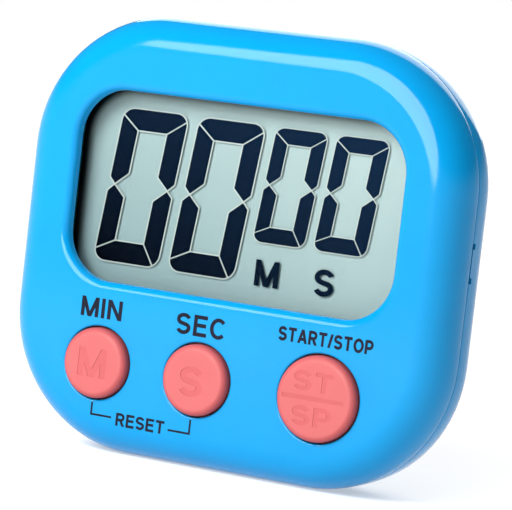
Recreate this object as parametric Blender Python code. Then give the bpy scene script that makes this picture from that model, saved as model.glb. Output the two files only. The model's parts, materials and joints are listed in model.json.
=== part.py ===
"""A small digital kitchen timer: two moulded shells, an LCD, three keys, a coin cell and a fold-out stand.

It stands upright on its bottom edge. X is across the face, +Z up, and the face looks along -Y. The origin
is under the middle of the timer, on the surface it stands on. "Depth" is the distance behind the face plane.
"""

import math

import bmesh
import bpy
from mathutils import Vector

MM = 0.001

# Case
CASE_WIDTH = 70.0 * MM
CASE_HEIGHT = 64.0 * MM
CASE_DEPTH = 15.5 * MM
CORNER_RADIUS = 20.5 * MM
WALL = 1.8 * MM
FACE_ROUND_INSET = 5.0 * MM
FACE_ROUND_DEPTH = 5.8 * MM
SEAM_DEPTH = 6.2 * MM
SEAM_GAP = 0.3 * MM
BACK_ROUND_START = 8.2 * MM
BACK_ROUND_INSET = 7.6 * MM
FOOT_ROUND_START = 10.5 * MM
FOOT_ROUND_INSET = 5.0 * MM
CORNER_STEPS = 8
ROUND_STEPS = 5

# Gaps
GAP = 0.3 * MM
RUNNING_GAP = 0.15 * MM
OVERLAP = 0.5 * MM
HAIR = 0.01 * MM

# Keys
KEY_PROUD = 1.2 * MM
SMALL_HOLE_RADIUS = 5.5 * MM
LARGE_HOLE_RADIUS = 6.45 * MM
SMALL_FLANGE_RADIUS = 6.2 * MM
LARGE_FLANGE_RADIUS = 6.9 * MM
KEY_FLANGE_THICKNESS = 0.8 * MM
KEYS = {
    "min": (-18.55 * MM, 13.1 * MM, SMALL_HOLE_RADIUS, SMALL_FLANGE_RADIUS),
    "sec": (-2.15 * MM, 13.1 * MM, SMALL_HOLE_RADIUS, SMALL_FLANGE_RADIUS),
    "start_stop": (17.1 * MM, 13.45 * MM, LARGE_HOLE_RADIUS, LARGE_FLANGE_RADIUS),
}

# Display
OPENING_WIDTH = 52.1 * MM
OPENING_HEIGHT = 27.9 * MM
OPENING_RADIUS = 7.2 * MM
OPENING_CENTRE_Z = CASE_HEIGHT / 2 + 6.85 * MM
OPENING_CHAMFER = 0.8 * MM
GLASS_HALF_WIDTH = 27.25 * MM
GLASS_BOTTOM = 21.6 * MM
GLASS_TOP = 54.0 * MM
LEDGE_TOP = 24.2 * MM
WINDOW_DEPTH = WALL + GAP
WINDOW_THICKNESS = 0.8 * MM
GLASS_DEPTH = WINDOW_DEPTH + WINDOW_THICKNESS + GAP
GLASS_THICKNESS = 1.0 * MM
WINDOW_CORNER = 3.0 * MM
FOIL_SIDE = 1.0 * MM
ZEBRA_HALF_WIDTH = 25.0 * MM

# Circuit board
BOARD_DEPTH = 6.6 * MM
BOARD_THICKNESS = 1.0 * MM
BOARD_HALF_WIDTH = 29.0 * MM
BOARD_BOTTOM = 4.4 * MM
BOARD_TOP = 53.6 * MM
BOARD_BACK = BOARD_DEPTH + BOARD_THICKNESS
BOARD_TOP_CORNER = 3.0 * MM
BOARD_FOOT_CORNER = 16.0 * MM
ON_BOARD = BOARD_BACK + GAP
CHIP_Z = 31.0 * MM
CHIP_PROFILE = (
    (7.0 * MM, ON_BOARD),
    (6.9 * MM, ON_BOARD + 0.5 * MM),
    (5.6 * MM, ON_BOARD + 1.2 * MM),
    (3.0 * MM, ON_BOARD + 1.6 * MM),
    (0.6 * MM, ON_BOARD + 1.7 * MM),
)
CRYSTAL_LEFT = 11.0 * MM
CRYSTAL_RIGHT = 17.0 * MM
CRYSTAL_Z = 36.5 * MM
CHIP_PART_LEVELS = (31.0 * MM, 34.0 * MM)
CHIP_PART_LENGTH = 2.0 * MM
CHIP_PART_WIDTH = 1.3 * MM
CAPACITOR_LEFT = -14.0 * MM
CAPACITOR_THICKNESS = 0.9 * MM
RESISTOR_LEFT = -19.0 * MM
RESISTOR_THICKNESS = 0.6 * MM

# Fastenings
CASE_SCREWS = (
    (-18.0 * MM, 57.2 * MM),
    (18.0 * MM, 57.2 * MM),
    (-9.0 * MM, 6.8 * MM),
    (9.0 * MM, 6.8 * MM),
)
BOARD_SCREWS = {"left": (-25.8 * MM, 19.0 * MM), "right": (25.8 * MM, 19.0 * MM)}

# Back
CELL_X = -19.0 * MM
CELL_Z = 17.0 * MM
CELL_RADIUS = 5.8 * MM
CELL_HEIGHT = 5.3 * MM
CELL_DEPTH = 8.6 * MM
WELL_RADIUS = 6.1 * MM
DOOR_HOLE_RADIUS = 8.3 * MM
DOOR_GROOVE_RADIUS = 9.4 * MM
DOOR_GROOVE_DEPTH = 13.0 * MM
DOOR_LIP_DEPTH = 14.2 * MM
DOOR_TURN = math.radians(45)
STAND_HALF_WIDTH = 8.4 * MM
STAND_THICKNESS = 1.7 * MM
STAND_HINGE_Z = 40.4 * MM
STAND_HINGE_DEPTH = 14.4 * MM
STAND_TIP_Z = 10.6 * MM
POCKET_HALF_WIDTH = STAND_HALF_WIDTH + 0.5 * MM
POCKET_DEPTH = 13.3 * MM
TRUNNION_RADIUS = 0.8 * MM
MAGNET_RADIUS = 6.0 * MM
MAGNET_THICKNESS = 2.0 * MM
MAGNETS = {"left": (-20.0 * MM, 44.0 * MM), "right": (20.0 * MM, 44.0 * MM)}
MAGNET_POCKET_ROOM = 0.2 * MM
MAGNET_POCKET_WALL = 1.2 * MM
MAGNET_SUNK = 0.1 * MM
MAGNET_EDGE = 0.2 * MM
PIEZO_X = 20.0 * MM
PIEZO_Z = 17.0 * MM
PIEZO_RADIUS = 7.5 * MM

# Shell details
HOLLOW_ROUND_INSET = 3.6 * MM
HOLLOW_ROUND_DEPTH = 4.0 * MM
HOLLOW_BACK_INSET = 6.4 * MM
HOLLOW_FOOT_INSET = 4.2 * MM
HOLLOW_OVERRUN = 1.0 * MM
SKIN_AT_SEAM = 0.95 * MM
REBATE_DEPTH = 4.9 * MM
TONGUE_INSET = 1.25 * MM
TONGUE_THICKNESS = 0.8 * MM
RIB_GAP = 0.35 * MM
RIB_THICKNESS = 0.7 * MM
RIB_END = 5.6 * MM
RIB_INNER_RADIUS = 0.4 * MM
RIB_OUTER_RADIUS = 1.0 * MM
NOTCH_LOW = 32.0 * MM
NOTCH_HIGH = 37.6 * MM
NOTCH_DEEP = 0.9 * MM

# Bosses and screw holes
FRONT_BOSS_RADIUS = 2.4 * MM
FRONT_BOSS_END = 8.7 * MM
POST_RADIUS = 1.9 * MM
PILOT_RADIUS = 0.85 * MM
PILOT_START = 3.4 * MM
BOARD_PILOT_START = 2.8 * MM
BOARD_HOLE_RADIUS = 1.0 * MM
BACK_BOSS_RADIUS = 2.9 * MM
SCREW_HOLE_RADIUS = 1.1 * MM
SCREW_WELL_RADIUS = 2.2 * MM
SCREW_SEAT_DEPTH = 11.9 * MM
# Shank radius, head radius, head height and length
CASE_SCREW_SIZE = (0.7 * MM, 1.85 * MM, 1.3 * MM, 8.0 * MM)
BOARD_SCREW_SIZE = (0.65 * MM, 1.5 * MM, 0.9 * MM, 4.4 * MM)
SCREW_POINT = 1.0 * MM

# Key details
KEY_HOLE_CHAMFER = 0.25 * MM
EDGE_ROUND = 0.8 * MM
EDGE_STEPS = 2
KEY_STEM_INSET = 3.0 * MM
KEY_STEM_LENGTH = 0.8 * MM
DOME_HOLE_RADIUS = 0.2 * MM
DOME_TOP_RIM = 0.4 * MM
DOME_STEP = 0.2 * MM
DOME_SHOULDER = 5.8 * MM
DOME_THICKNESS = 0.6 * MM
DOME_INSET = 0.7 * MM
WEB_HALF_WIDTH = 24.4 * MM
WEB_LOW = 6.6 * MM
WEB_HIGH = 20.2 * MM
WEB_START = 5.7 * MM
WEB_END = 6.3 * MM
WEB_TOP_CORNER = 3.0 * MM
WEB_FOOT_CORNER = 6.0 * MM
PILL_RADIUS = 1.8 * MM
PILL_THICKNESS = 0.4 * MM

# Small parts
FOIL_GAP = 0.15 * MM
FOIL_THICKNESS = 0.2 * MM
CAN_RADIUS = 1.0 * MM
PIEZO_THICKNESS = 0.25 * MM
CERAMIC_RADIUS = 5.5 * MM
WIRE_RADIUS = 0.35 * MM
SOUND_HOLE_RADIUS = 0.65 * MM
SOUND_HOLE_RING = 2.6 * MM
WIRE_BOW = 1.2 * MM
WIRE_ENDS = {
    "red": ((14.2 * MM, 20.0 * MM), (13.0 * MM, 27.5 * MM)),
    "black": ((17.5 * MM, 19.5 * MM), (17.0 * MM, 28.0 * MM)),
}
CONTACT_FOOT = 8.1 * MM
CONTACT_THICKNESS = 0.2 * MM
CONTACT_HALF_WIDTH = 2.0 * MM
CONTACT_TOE = 2.6 * MM
CONTACT_RISE = 3.6 * MM
SPRING_HALF_WIDTH = 1.5 * MM
SPRING_PATH = (
    (-7.0 * MM, 0.0),
    (-4.5 * MM, 0.0),
    (-1.2 * MM, 0.2 * MM),
    (1.8 * MM, 0.1 * MM),
)
CELL_CAP_INSET = 0.6 * MM
CELL_CAP_HEIGHT = 0.4 * MM
CELL_EDGE = 0.2 * MM
CELL_SHOULDER = 0.5 * MM

# Back details
WELL_DEPTH = 9.0 * MM
WELL_WALL = 1.2 * MM
GROOVE_WALL = 1.1 * MM
GROOVE_SHELF = 1.3 * MM
CONTACT_SLOT_HALF_WIDTH = 2.6 * MM
CONTACT_SLOT_INSIDE = 1.0 * MM
CONTACT_SLOT_OUTSIDE = 3.0 * MM
CONTACT_SLOT_STOP = 0.4 * MM
NOTCH_INSIDE = 1.0 * MM
LUG_ANGLES = (math.pi / 2, 3 * math.pi / 2)
LUG_HALF_ANGLE = math.radians(14)
NOTCH_HALF_ANGLE = math.radians(18)
DOOR_SIDE_ROOM = 0.25 * MM
DOOR_SUNK = 0.05 * MM
DOOR_EDGE = 0.3 * MM
DOOR_CELL_ROOM = 0.6 * MM
LUG_ROOT = 0.8 * MM
COIN_SLOT_LENGTH = 11.0 * MM
COIN_SLOT_WIDTH = 1.8 * MM
COIN_SLOT_DEEP = 0.7 * MM
KEYHOLE_Z = 48.4 * MM
KEYHOLE_TOP = 53.0 * MM
KEYHOLE_RADIUS = 3.2 * MM
KEYHOLE_SLOT = 3.2 * MM
KEYHOLE_ROOM = 1.8 * MM
KEYHOLE_SIDE_ROOM = 0.5 * MM
KEYHOLE_SKIN = 1.1 * MM
KEYHOLE_BREAK = 0.2 * MM
POCKET_WALL = 2.1 * MM
POCKET_FLOOR = 1.4 * MM
POCKET_END_WALL = 1.3 * MM
POCKET_HINGE_ROOM = 0.5 * MM
POCKET_TIP_ROOM = 0.4 * MM
TRUNNION_LENGTH = 1.2 * MM
STAND_RAIL = 2.6 * MM
STAND_PANEL_DEEP = 0.5 * MM
STAND_PANEL_RADIUS = 1.5 * MM
STAND_PANEL_FOOT = 6.0 * MM
STAND_PANEL_HEAD = 4.0 * MM
STAND_HINGE_CORNER = 0.2 * MM
STAND_TIP_CORNER = 3.0 * MM
STAND_SINK = 0.02 * MM
SCOOP_HALF_WIDTH = 4.0 * MM
SCOOP_DROP = 1.5 * MM
SCOOP_DEEP = 1.1 * MM

# The face plane's y, which puts the key fronts and the back at equal distances from y = 0.
FACE_Y = (KEY_PROUD - CASE_DEPTH) / 2


def clear_scene():
    for obj in list(bpy.data.objects):
        bpy.data.objects.remove(obj, do_unlink=True)


def material(name, colour, roughness, metallic=0.0, alpha=1.0):
    made = bpy.data.materials.new(name)
    made.use_nodes = True
    shader = made.node_tree.nodes["Principled BSDF"]
    shader.inputs["Base Color"].default_value = (*colour, 1.0)
    shader.inputs["Roughness"].default_value = roughness
    shader.inputs["Metallic"].default_value = metallic
    shader.inputs["Alpha"].default_value = alpha
    made.diffuse_color = (*colour, alpha)
    return made


def point(x, z, depth):
    return Vector((x, FACE_Y + depth, z))


def circle(centre_x, centre_z, radius, steps):
    turns = [2 * math.pi * i / steps for i in range(steps)]
    return [(centre_x + radius * math.cos(a), centre_z + radius * math.sin(a)) for a in turns]


def rounded_rectangle(left, right, low, high, radius, steps=CORNER_STEPS, low_radius=None):
    """Outline points, anticlockwise from the right side, with the same count for any size."""
    low_radius = radius if low_radius is None else low_radius
    corners = (
        (right - radius, high - radius, 0, radius),
        (left + radius, high - radius, 90, radius),
        (left + low_radius, low + low_radius, 180, low_radius),
        (right - low_radius, low + low_radius, 270, low_radius),
    )
    outline = []
    for x, z, start, corner_radius in corners:
        for i in range(steps + 1):
            a = math.radians(start + 90 * i / steps)
            outline.append((x + corner_radius * math.cos(a), z + corner_radius * math.sin(a)))
    return outline


def case_outline(inset, foot_inset=None):
    """The case's outline, inset from its widest section."""
    foot_inset = inset if foot_inset is None else foot_inset
    half = CASE_WIDTH / 2 - inset
    return rounded_rectangle(-half, half, foot_inset, CASE_HEIGHT - inset, CORNER_RADIUS - inset)


def quarter(start, inset, depth, steps=ROUND_STEPS):
    """(inset, depth) along a quarter ellipse from the side wall at depth start to the back."""
    angles = [math.pi / 2 * i / steps for i in range(steps + 1)]
    return [(inset * (1 - math.cos(a)), start + depth * math.sin(a)) for a in angles]


def foot_inset_at(depth, start, inset):
    """The bottom edge turns in later than the other three, so that the timer has a flat to stand on."""
    if depth <= start:
        return 0.0
    return inset * (1 - math.sqrt(max(0.0, 1 - ((depth - start) / inset) ** 2)))


def add_object(name, mesh, finish):
    obj = bpy.data.objects.new(name, mesh)
    bpy.context.scene.collection.objects.link(obj)
    if finish:
        mesh.materials.append(finish)
    else:
        obj.hide_render = True
        obj.display_type = "WIRE"
    return obj


def finish_mesh(name, bm, finish, centre=None):
    """The object of a bmesh, with its origin at centre and its round faces shaded smooth."""
    bmesh.ops.recalc_face_normals(bm, faces=bm.faces)
    if centre:
        bmesh.ops.translate(bm, verts=bm.verts, vec=-centre)
    mesh = bpy.data.meshes.new(name)
    bm.to_mesh(mesh)
    bm.free()
    mesh.shade_smooth()
    mesh.set_sharp_from_angle(angle=math.radians(35))
    obj = add_object(name, mesh, finish)
    if centre:
        obj.location = centre
    return obj


def loft(name, rings, finish=None, centre=None):
    """A closed solid through rings of points, each with the same count, with flat ends."""
    bm = bmesh.new()
    loops = [[bm.verts.new(p) for p in ring] for ring in rings]
    count = len(loops[0])
    for a, b in zip(loops, loops[1:]):
        for i in range(count):
            j = (i + 1) % count
            bm.faces.new((a[i], a[j], b[j], b[i]))
    bm.faces.new(loops[0])
    bm.faces.new(loops[-1])
    return finish_mesh(name, bm, finish, centre)


def prism(name, outline, near, far, finish=None, centre=None):
    """An outline of (x, z) points, solid from depth near to depth far."""
    rings = [[point(x, z, depth) for x, z in outline] for depth in (near, far)]
    return loft(name, rings, finish, centre)


def block(name, left, right, low, high, near, far, finish=None):
    return prism(name, [(right, low), (right, high), (left, high), (left, low)], near, far, finish)


def frame_prism(name, outer, inner, near, far, finish=None):
    """A tube with an outer and an inner outline, from depth near to depth far."""
    bm = bmesh.new()
    loops = []
    for outline, depth in ((outer, near), (outer, far), (inner, far), (inner, near)):
        loops.append([bm.verts.new(point(x, z, depth)) for x, z in outline])
    count = len(outer)
    for a, b in zip(loops, loops[1:] + loops[:1]):
        for i in range(count):
            j = (i + 1) % count
            bm.faces.new((a[i], a[j], b[j], b[i]))
    return finish_mesh(name, bm, finish)


def turned(name, centre_x, centre_z, profile, finish=None, steps=32, centre=None):
    """A solid of revolution about a line along Y, from a profile of (radius, depth), with flat ends."""
    rings = []
    for radius, depth in profile:
        rings.append([point(x, z, depth) for x, z in circle(centre_x, centre_z, radius, steps)])
    return loft(name, rings, finish, centre)


def turned_ring(name, centre_x, centre_z, profile, finish=None, steps=32):
    """A ring of revolution about a line along Y, with a closed profile of (radius, depth)."""
    bm = bmesh.new()
    loops = []
    for radius, depth in profile:
        around = circle(centre_x, centre_z, radius, steps)
        loops.append([bm.verts.new(point(x, z, depth)) for x, z in around])
    for a, b in zip(loops, loops[1:] + loops[:1]):
        for i in range(steps):
            j = (i + 1) % steps
            bm.faces.new((a[i], a[j], b[j], b[i]))
    return finish_mesh(name, bm, finish)


def rod(name, start, end, radius, finish=None, steps=16):
    """A round bar between two points."""
    along = end - start
    bm = bmesh.new()
    bmesh.ops.create_cone(bm, cap_ends=True, segments=steps, radius1=radius, radius2=radius,
                          depth=along.length)
    turn = along.to_track_quat("Z", "Y").to_matrix().to_4x4()
    bmesh.ops.transform(bm, matrix=turn, verts=bm.verts)
    bmesh.ops.translate(bm, verts=bm.verts, vec=(start + end) / 2)
    return finish_mesh(name, bm, finish)


def strip(name, path, thickness, left, right, finish):
    """Bent sheet metal: a path of (z, depth) points, thickened to one side and as wide as left to right."""
    shifted = []
    for i, (z, depth) in enumerate(path):
        before = Vector(path[max(i - 1, 0)])
        after = Vector(path[min(i + 1, len(path) - 1)])
        along = (after - before).normalized()
        shifted.append((z - along.y * thickness, depth + along.x * thickness))
    outline = path + shifted[::-1]
    rings = [[point(x, z, depth) for z, depth in outline] for x in (left, right)]
    return loft(name, rings, finish)


def wire(name, start, end, bow, radius, finish):
    """A soft wire on one smooth curve from start to end, bowed sideways by bow."""
    steps = 14
    curve = bpy.data.curves.new(name, "CURVE")
    curve.dimensions = "3D"
    curve.bevel_depth = radius
    curve.bevel_resolution = 2
    curve.use_fill_caps = True
    spline = curve.splines.new("POLY")
    spline.points.add(steps)
    for i in range(steps + 1):
        t = i / steps
        ease = t * t * (3 - 2 * t)
        place = start.lerp(end, ease) + bow * math.sin(math.pi * t)
        spline.points[i].co = (*place, 1.0)
    obj = bpy.data.objects.new(name, curve)
    bpy.context.scene.collection.objects.link(obj)
    curve.materials.append(finish)
    return obj


def boolean(target, tool, operation):
    modifier = target.modifiers.new(tool.name, "BOOLEAN")
    modifier.operation = operation
    modifier.solver = "EXACT"
    modifier.object = tool


def join(target, *tools):
    for tool in tools:
        boolean(target, tool, "UNION")


def cut(target, *tools):
    for tool in tools:
        boolean(target, tool, "DIFFERENCE")


def opening_outline(grow=0.0):
    half = OPENING_WIDTH / 2 + grow
    rise = OPENING_HEIGHT / 2 + grow
    low, high = OPENING_CENTRE_Z - rise, OPENING_CENTRE_Z + rise
    return rounded_rectangle(-half, half, low, high, OPENING_RADIUS + grow)


def front_shell(finish):
    """The outer form of the front case: a flat face, a soft rim and a short straight side."""
    rings = []
    for i in range(ROUND_STEPS + 1):
        a = math.pi / 2 * i / ROUND_STEPS
        outline = case_outline(FACE_ROUND_INSET * (1 - math.sin(a)))
        depth = FACE_ROUND_DEPTH * (1 - math.cos(a))
        rings.append([point(x, z, depth) for x, z in outline])
    end = SEAM_DEPTH - SEAM_GAP / 2
    rings.append([point(x, z, end) for x, z in case_outline(0.0)])
    return loft("front_case", rings, finish)


def front_hollow():
    """The space inside the front case, which follows the rim and runs out past the seam."""
    rings = []
    for i in range(ROUND_STEPS + 1):
        a = math.pi / 2 * i / ROUND_STEPS
        outline = case_outline(WALL + HOLLOW_ROUND_INSET * (1 - math.sin(a)))
        depth = WALL + HOLLOW_ROUND_DEPTH * (1 - math.cos(a))
        rings.append([point(x, z, depth) for x, z in outline])
    rings.append([point(x, z, SEAM_DEPTH + HOLLOW_OVERRUN) for x, z in case_outline(WALL)])
    return loft("cut_front_hollow", rings)


def front_rebate():
    """The step inside the front case's edge that takes the back case's tongue."""
    outline = case_outline(SKIN_AT_SEAM)
    return prism("cut_front_rebate", outline, REBATE_DEPTH, SEAM_DEPTH + 2 * HOLLOW_OVERRUN)


def opening_cutter():
    """The window opening, widening towards the face."""
    profile = ((OPENING_CHAMFER + OVERLAP, -OVERLAP), (0.0, OPENING_CHAMFER), (0.0, WALL + OVERLAP))
    rings = [[point(x, z, depth) for x, z in opening_outline(grow)] for grow, depth in profile]
    return loft("cut_window_opening", rings)


def glass_rib():
    """The low wall that holds the window and the glass from the sides."""
    inner = GLASS_HALF_WIDTH + RIB_GAP
    outer = inner + RIB_THICKNESS
    low, high = GLASS_BOTTOM - GAP, GLASS_TOP + OVERLAP
    inner_outline = rounded_rectangle(-inner, inner, low, high, RIB_INNER_RADIUS, 2)
    outer_low, outer_high = low - RIB_THICKNESS, high + RIB_THICKNESS
    outer_outline = rounded_rectangle(-outer, outer, outer_low, outer_high, RIB_OUTER_RADIUS, 2)
    return frame_prism("join_glass_rib", outer_outline, inner_outline, WALL - OVERLAP, RIB_END)


def make_front_case(finish):
    case = front_shell(finish)
    cut(case, front_hollow(), front_rebate())
    join(case, glass_rib())
    for i, (x, z) in enumerate(CASE_SCREWS, 1):
        boss = [(FRONT_BOSS_RADIUS, WALL - OVERLAP), (FRONT_BOSS_RADIUS, FRONT_BOSS_END)]
        join(case, turned(f"join_front_boss_{i}", x, z, boss, steps=16))
    for side, (x, z) in BOARD_SCREWS.items():
        post = [(POST_RADIUS, WALL - OVERLAP), (POST_RADIUS, BOARD_DEPTH - GAP)]
        join(case, turned(f"join_board_post_{side}", x, z, post, steps=16))
    for i, (x, z) in enumerate(CASE_SCREWS, 1):
        pilot = [(PILOT_RADIUS, PILOT_START), (PILOT_RADIUS, FRONT_BOSS_END + OVERLAP)]
        cut(case, turned(f"cut_front_pilot_{i}", x, z, pilot, steps=12))
    for side, (x, z) in BOARD_SCREWS.items():
        pilot = [(PILOT_RADIUS, BOARD_PILOT_START), (PILOT_RADIUS, BOARD_DEPTH)]
        cut(case, turned(f"cut_board_pilot_{side}", x, z, pilot, steps=12))
    cut(case, opening_cutter())
    for name, (x, z, hole_radius, _) in KEYS.items():
        hole = [
            (hole_radius + KEY_HOLE_CHAMFER + OVERLAP, -OVERLAP),
            (hole_radius, KEY_HOLE_CHAMFER),
            (hole_radius, WALL + OVERLAP),
        ]
        cut(case, turned(f"cut_key_hole_{name}", x, z, hole))
    return case


def back_shell(finish):
    """The outer form of the back case, which rounds down to a flat back and keeps a flat foot below."""
    start = SEAM_DEPTH + SEAM_GAP / 2
    rings = [[point(x, z, start) for x, z in case_outline(0.0)]]
    for inset, depth in quarter(BACK_ROUND_START, BACK_ROUND_INSET, CASE_DEPTH - BACK_ROUND_START):
        foot = foot_inset_at(depth, FOOT_ROUND_START, FOOT_ROUND_INSET)
        rings.append([point(x, z, depth) for x, z in case_outline(inset, foot)])
    return loft("back_case", rings, finish)


def back_hollow():
    rings = [[point(x, z, SEAM_DEPTH - HOLLOW_OVERRUN) for x, z in case_outline(WALL)]]
    reach = CASE_DEPTH - WALL - BACK_ROUND_START
    for inset, depth in quarter(BACK_ROUND_START, HOLLOW_BACK_INSET, reach):
        foot = foot_inset_at(depth, FOOT_ROUND_START - HOLLOW_OVERRUN, HOLLOW_FOOT_INSET)
        rings.append([point(x, z, depth) for x, z in case_outline(WALL + inset, WALL + foot)])
    return loft("cut_back_hollow", rings)


def back_tongue():
    outer, inner = case_outline(TONGUE_INSET), case_outline(TONGUE_INSET + TONGUE_THICKNESS)
    near = REBATE_DEPTH + GAP
    return frame_prism("join_back_tongue", outer, inner, near, BACK_ROUND_START - OVERLAP)


def turned_pair(prefix, case, x, z, solid, hollow, steps=24):
    """Joins a turned solid to the case, and returns the turned cutter that hollows it afterwards."""
    join(case, turned(f"join_{prefix}", x, z, solid, steps=steps))
    return turned(f"cut_{prefix}", x, z, hollow, steps=steps)


def slot_outline(x, low, high, half_width, steps=8):
    """A slot along Z with a round top and a flat bottom."""
    outline = [(x - half_width, low), (x + half_width, low)]
    for i in range(steps + 1):
        a = math.pi * i / steps
        outline.append((x + half_width * math.cos(a), high + half_width * math.sin(a)))
    return outline


def add_keyhole(case):
    """A hanging keyhole: a screw head goes in at the round end and slides up behind the lip."""
    inner_wall = CASE_DEPTH - WALL
    half = KEYHOLE_RADIUS + KEYHOLE_SIDE_ROOM
    low, high = KEYHOLE_Z - half, KEYHOLE_TOP + KEYHOLE_RADIUS
    skin = KEYHOLE_SKIN
    near = inner_wall - KEYHOLE_ROOM
    mouth = [(KEYHOLE_RADIUS, inner_wall), (KEYHOLE_RADIUS, CASE_DEPTH + OVERLAP)]
    join(case, block("join_keyhole_box", -half - skin, half + skin, low - skin, high + skin,
                     near - skin, inner_wall + OVERLAP))
    return [
        block("cut_keyhole_room", -half, half, low, high, near, inner_wall + KEYHOLE_BREAK),
        turned("cut_keyhole_mouth", 0.0, KEYHOLE_Z, mouth),
        prism("cut_keyhole_slot", slot_outline(0.0, KEYHOLE_Z, KEYHOLE_TOP, KEYHOLE_SLOT / 2),
              inner_wall, CASE_DEPTH + OVERLAP),
    ]


def add_stand_pocket(case):
    top = STAND_HINGE_Z + STAND_THICKNESS / 2 + POCKET_HINGE_ROOM
    low = STAND_TIP_Z - POCKET_TIP_ROOM
    side = POCKET_HALF_WIDTH + POCKET_WALL
    floor = POCKET_DEPTH - POCKET_FLOOR
    join(case, block("join_stand_pocket", -side, side, low - POCKET_END_WALL, top + POCKET_END_WALL,
                     floor, CASE_DEPTH - WALL + OVERLAP))
    socket = TRUNNION_RADIUS + RUNNING_GAP
    reach = STAND_HALF_WIDTH + TRUNNION_LENGTH + GAP
    left = point(-reach, STAND_HINGE_Z, STAND_HINGE_DEPTH)
    right = point(reach, STAND_HINGE_Z, STAND_HINGE_DEPTH)
    return [
        block("cut_stand_pocket", -POCKET_HALF_WIDTH, POCKET_HALF_WIDTH, low, top, POCKET_DEPTH,
              CASE_DEPTH + OVERLAP),
        rod("cut_stand_sockets", left, right, socket, steps=20),
        block("cut_finger_scoop", -SCOOP_HALF_WIDTH, SCOOP_HALF_WIDTH, low - SCOOP_DROP, low + OVERLAP,
              CASE_DEPTH - SCOOP_DEEP, CASE_DEPTH + OVERLAP),
    ]


def sector(name, x, z, inner, outer, start, end, near, far, finish=None):
    """A piece of a ring between two angles, from depth near to depth far."""
    steps = 4
    angles = [start + (end - start) * i / steps for i in range(steps + 1)]
    outline = [(x + outer * math.cos(a), z + outer * math.sin(a)) for a in angles]
    outline += [(x + inner * math.cos(a), z + inner * math.sin(a)) for a in reversed(angles)]
    return prism(name, outline, near, far, finish)


def add_cell_well(case):
    """The well for the coin cell, with a groove and a notched lip that hold the turning door."""
    inner_wall = CASE_DEPTH - WALL
    outside = CASE_DEPTH + OVERLAP
    shelf = DOOR_GROOVE_DEPTH - GROOVE_SHELF
    well_wall, groove_wall = WELL_RADIUS + WELL_WALL, DOOR_GROOVE_RADIUS + GROOVE_WALL
    well_solid = [(well_wall, WELL_DEPTH), (well_wall, inner_wall + OVERLAP)]
    well_hollow = [(WELL_RADIUS, WELL_DEPTH - OVERLAP), (WELL_RADIUS, outside)]
    groove_solid = [(groove_wall, shelf), (groove_wall, inner_wall + OVERLAP)]
    groove_hollow = [(DOOR_GROOVE_RADIUS, DOOR_GROOVE_DEPTH), (DOOR_GROOVE_RADIUS, DOOR_LIP_DEPTH)]
    hole = [(DOOR_HOLE_RADIUS, DOOR_GROOVE_DEPTH + OVERLAP), (DOOR_HOLE_RADIUS, outside)]
    cutters = [
        turned_pair("cell_well", case, CELL_X, CELL_Z, well_solid, well_hollow, 32),
        turned_pair("door_groove", case, CELL_X, CELL_Z, groove_solid, groove_hollow, 32),
        turned("cut_door_hole", CELL_X, CELL_Z, hole),
        block("cut_contact_slot", CELL_X - CONTACT_SLOT_HALF_WIDTH, CELL_X + CONTACT_SLOT_HALF_WIDTH,
              CELL_Z + CELL_RADIUS - CONTACT_SLOT_INSIDE, CELL_Z + WELL_RADIUS + CONTACT_SLOT_OUTSIDE,
              WELL_DEPTH - OVERLAP, DOOR_GROOVE_DEPTH - CONTACT_SLOT_STOP),
    ]
    for i, angle in enumerate(LUG_ANGLES, 1):
        middle = angle - DOOR_TURN
        cutters.append(sector(f"cut_door_notch_{i}", CELL_X, CELL_Z, DOOR_HOLE_RADIUS - NOTCH_INSIDE,
                              DOOR_GROOVE_RADIUS, middle - NOTCH_HALF_ANGLE, middle + NOTCH_HALF_ANGLE,
                              DOOR_LIP_DEPTH - OVERLAP, outside))
    return cutters


def add_magnet_pockets(case):
    cutters = []
    floor = CASE_DEPTH - MAGNET_THICKNESS - MAGNET_SUNK - GAP
    wall = MAGNET_POCKET_WALL
    for side, (x, z) in MAGNETS.items():
        radius = MAGNET_RADIUS + MAGNET_POCKET_ROOM
        solid = [(radius + wall, floor - wall), (radius + wall, CASE_DEPTH - WALL + OVERLAP)]
        hollow = [(radius, floor), (radius, CASE_DEPTH + OVERLAP)]
        cutters.append(turned_pair(f"magnet_pocket_{side}", case, x, z, solid, hollow, 32))
    return cutters


def add_back_bosses(case):
    cutters = []
    for i, (x, z) in enumerate(CASE_SCREWS, 1):
        ends = (FRONT_BOSS_END + GAP, CASE_DEPTH - WALL + OVERLAP)
        solid = [(BACK_BOSS_RADIUS, depth) for depth in ends]
        hollow = [
            (SCREW_HOLE_RADIUS, FRONT_BOSS_END),
            (SCREW_HOLE_RADIUS, SCREW_SEAT_DEPTH - HAIR),
            (SCREW_WELL_RADIUS, SCREW_SEAT_DEPTH),
            (SCREW_WELL_RADIUS, CASE_DEPTH + OVERLAP),
        ]
        cutters.append(turned_pair(f"back_boss_{i}", case, x, z, solid, hollow, 20))
    return cutters


def sound_holes():
    """One hole in the middle and six round it."""
    places = [(PIEZO_X, PIEZO_Z)] + circle(PIEZO_X, PIEZO_Z, SOUND_HOLE_RING, 6)
    ends = (CASE_DEPTH - WALL - OVERLAP, CASE_DEPTH + OVERLAP)
    profile = [(SOUND_HOLE_RADIUS, depth) for depth in ends]
    return [turned(f"cut_sound_hole_{i}", x, z, profile, steps=12) for i, (x, z) in enumerate(places, 1)]


def pry_notch():
    half = CASE_WIDTH / 2
    near = SEAM_DEPTH - HOLLOW_OVERRUN
    return block("cut_pry_notch", half - NOTCH_DEEP, half + OVERLAP, NOTCH_LOW, NOTCH_HIGH, near,
                 SEAM_DEPTH + NOTCH_DEEP)


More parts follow.
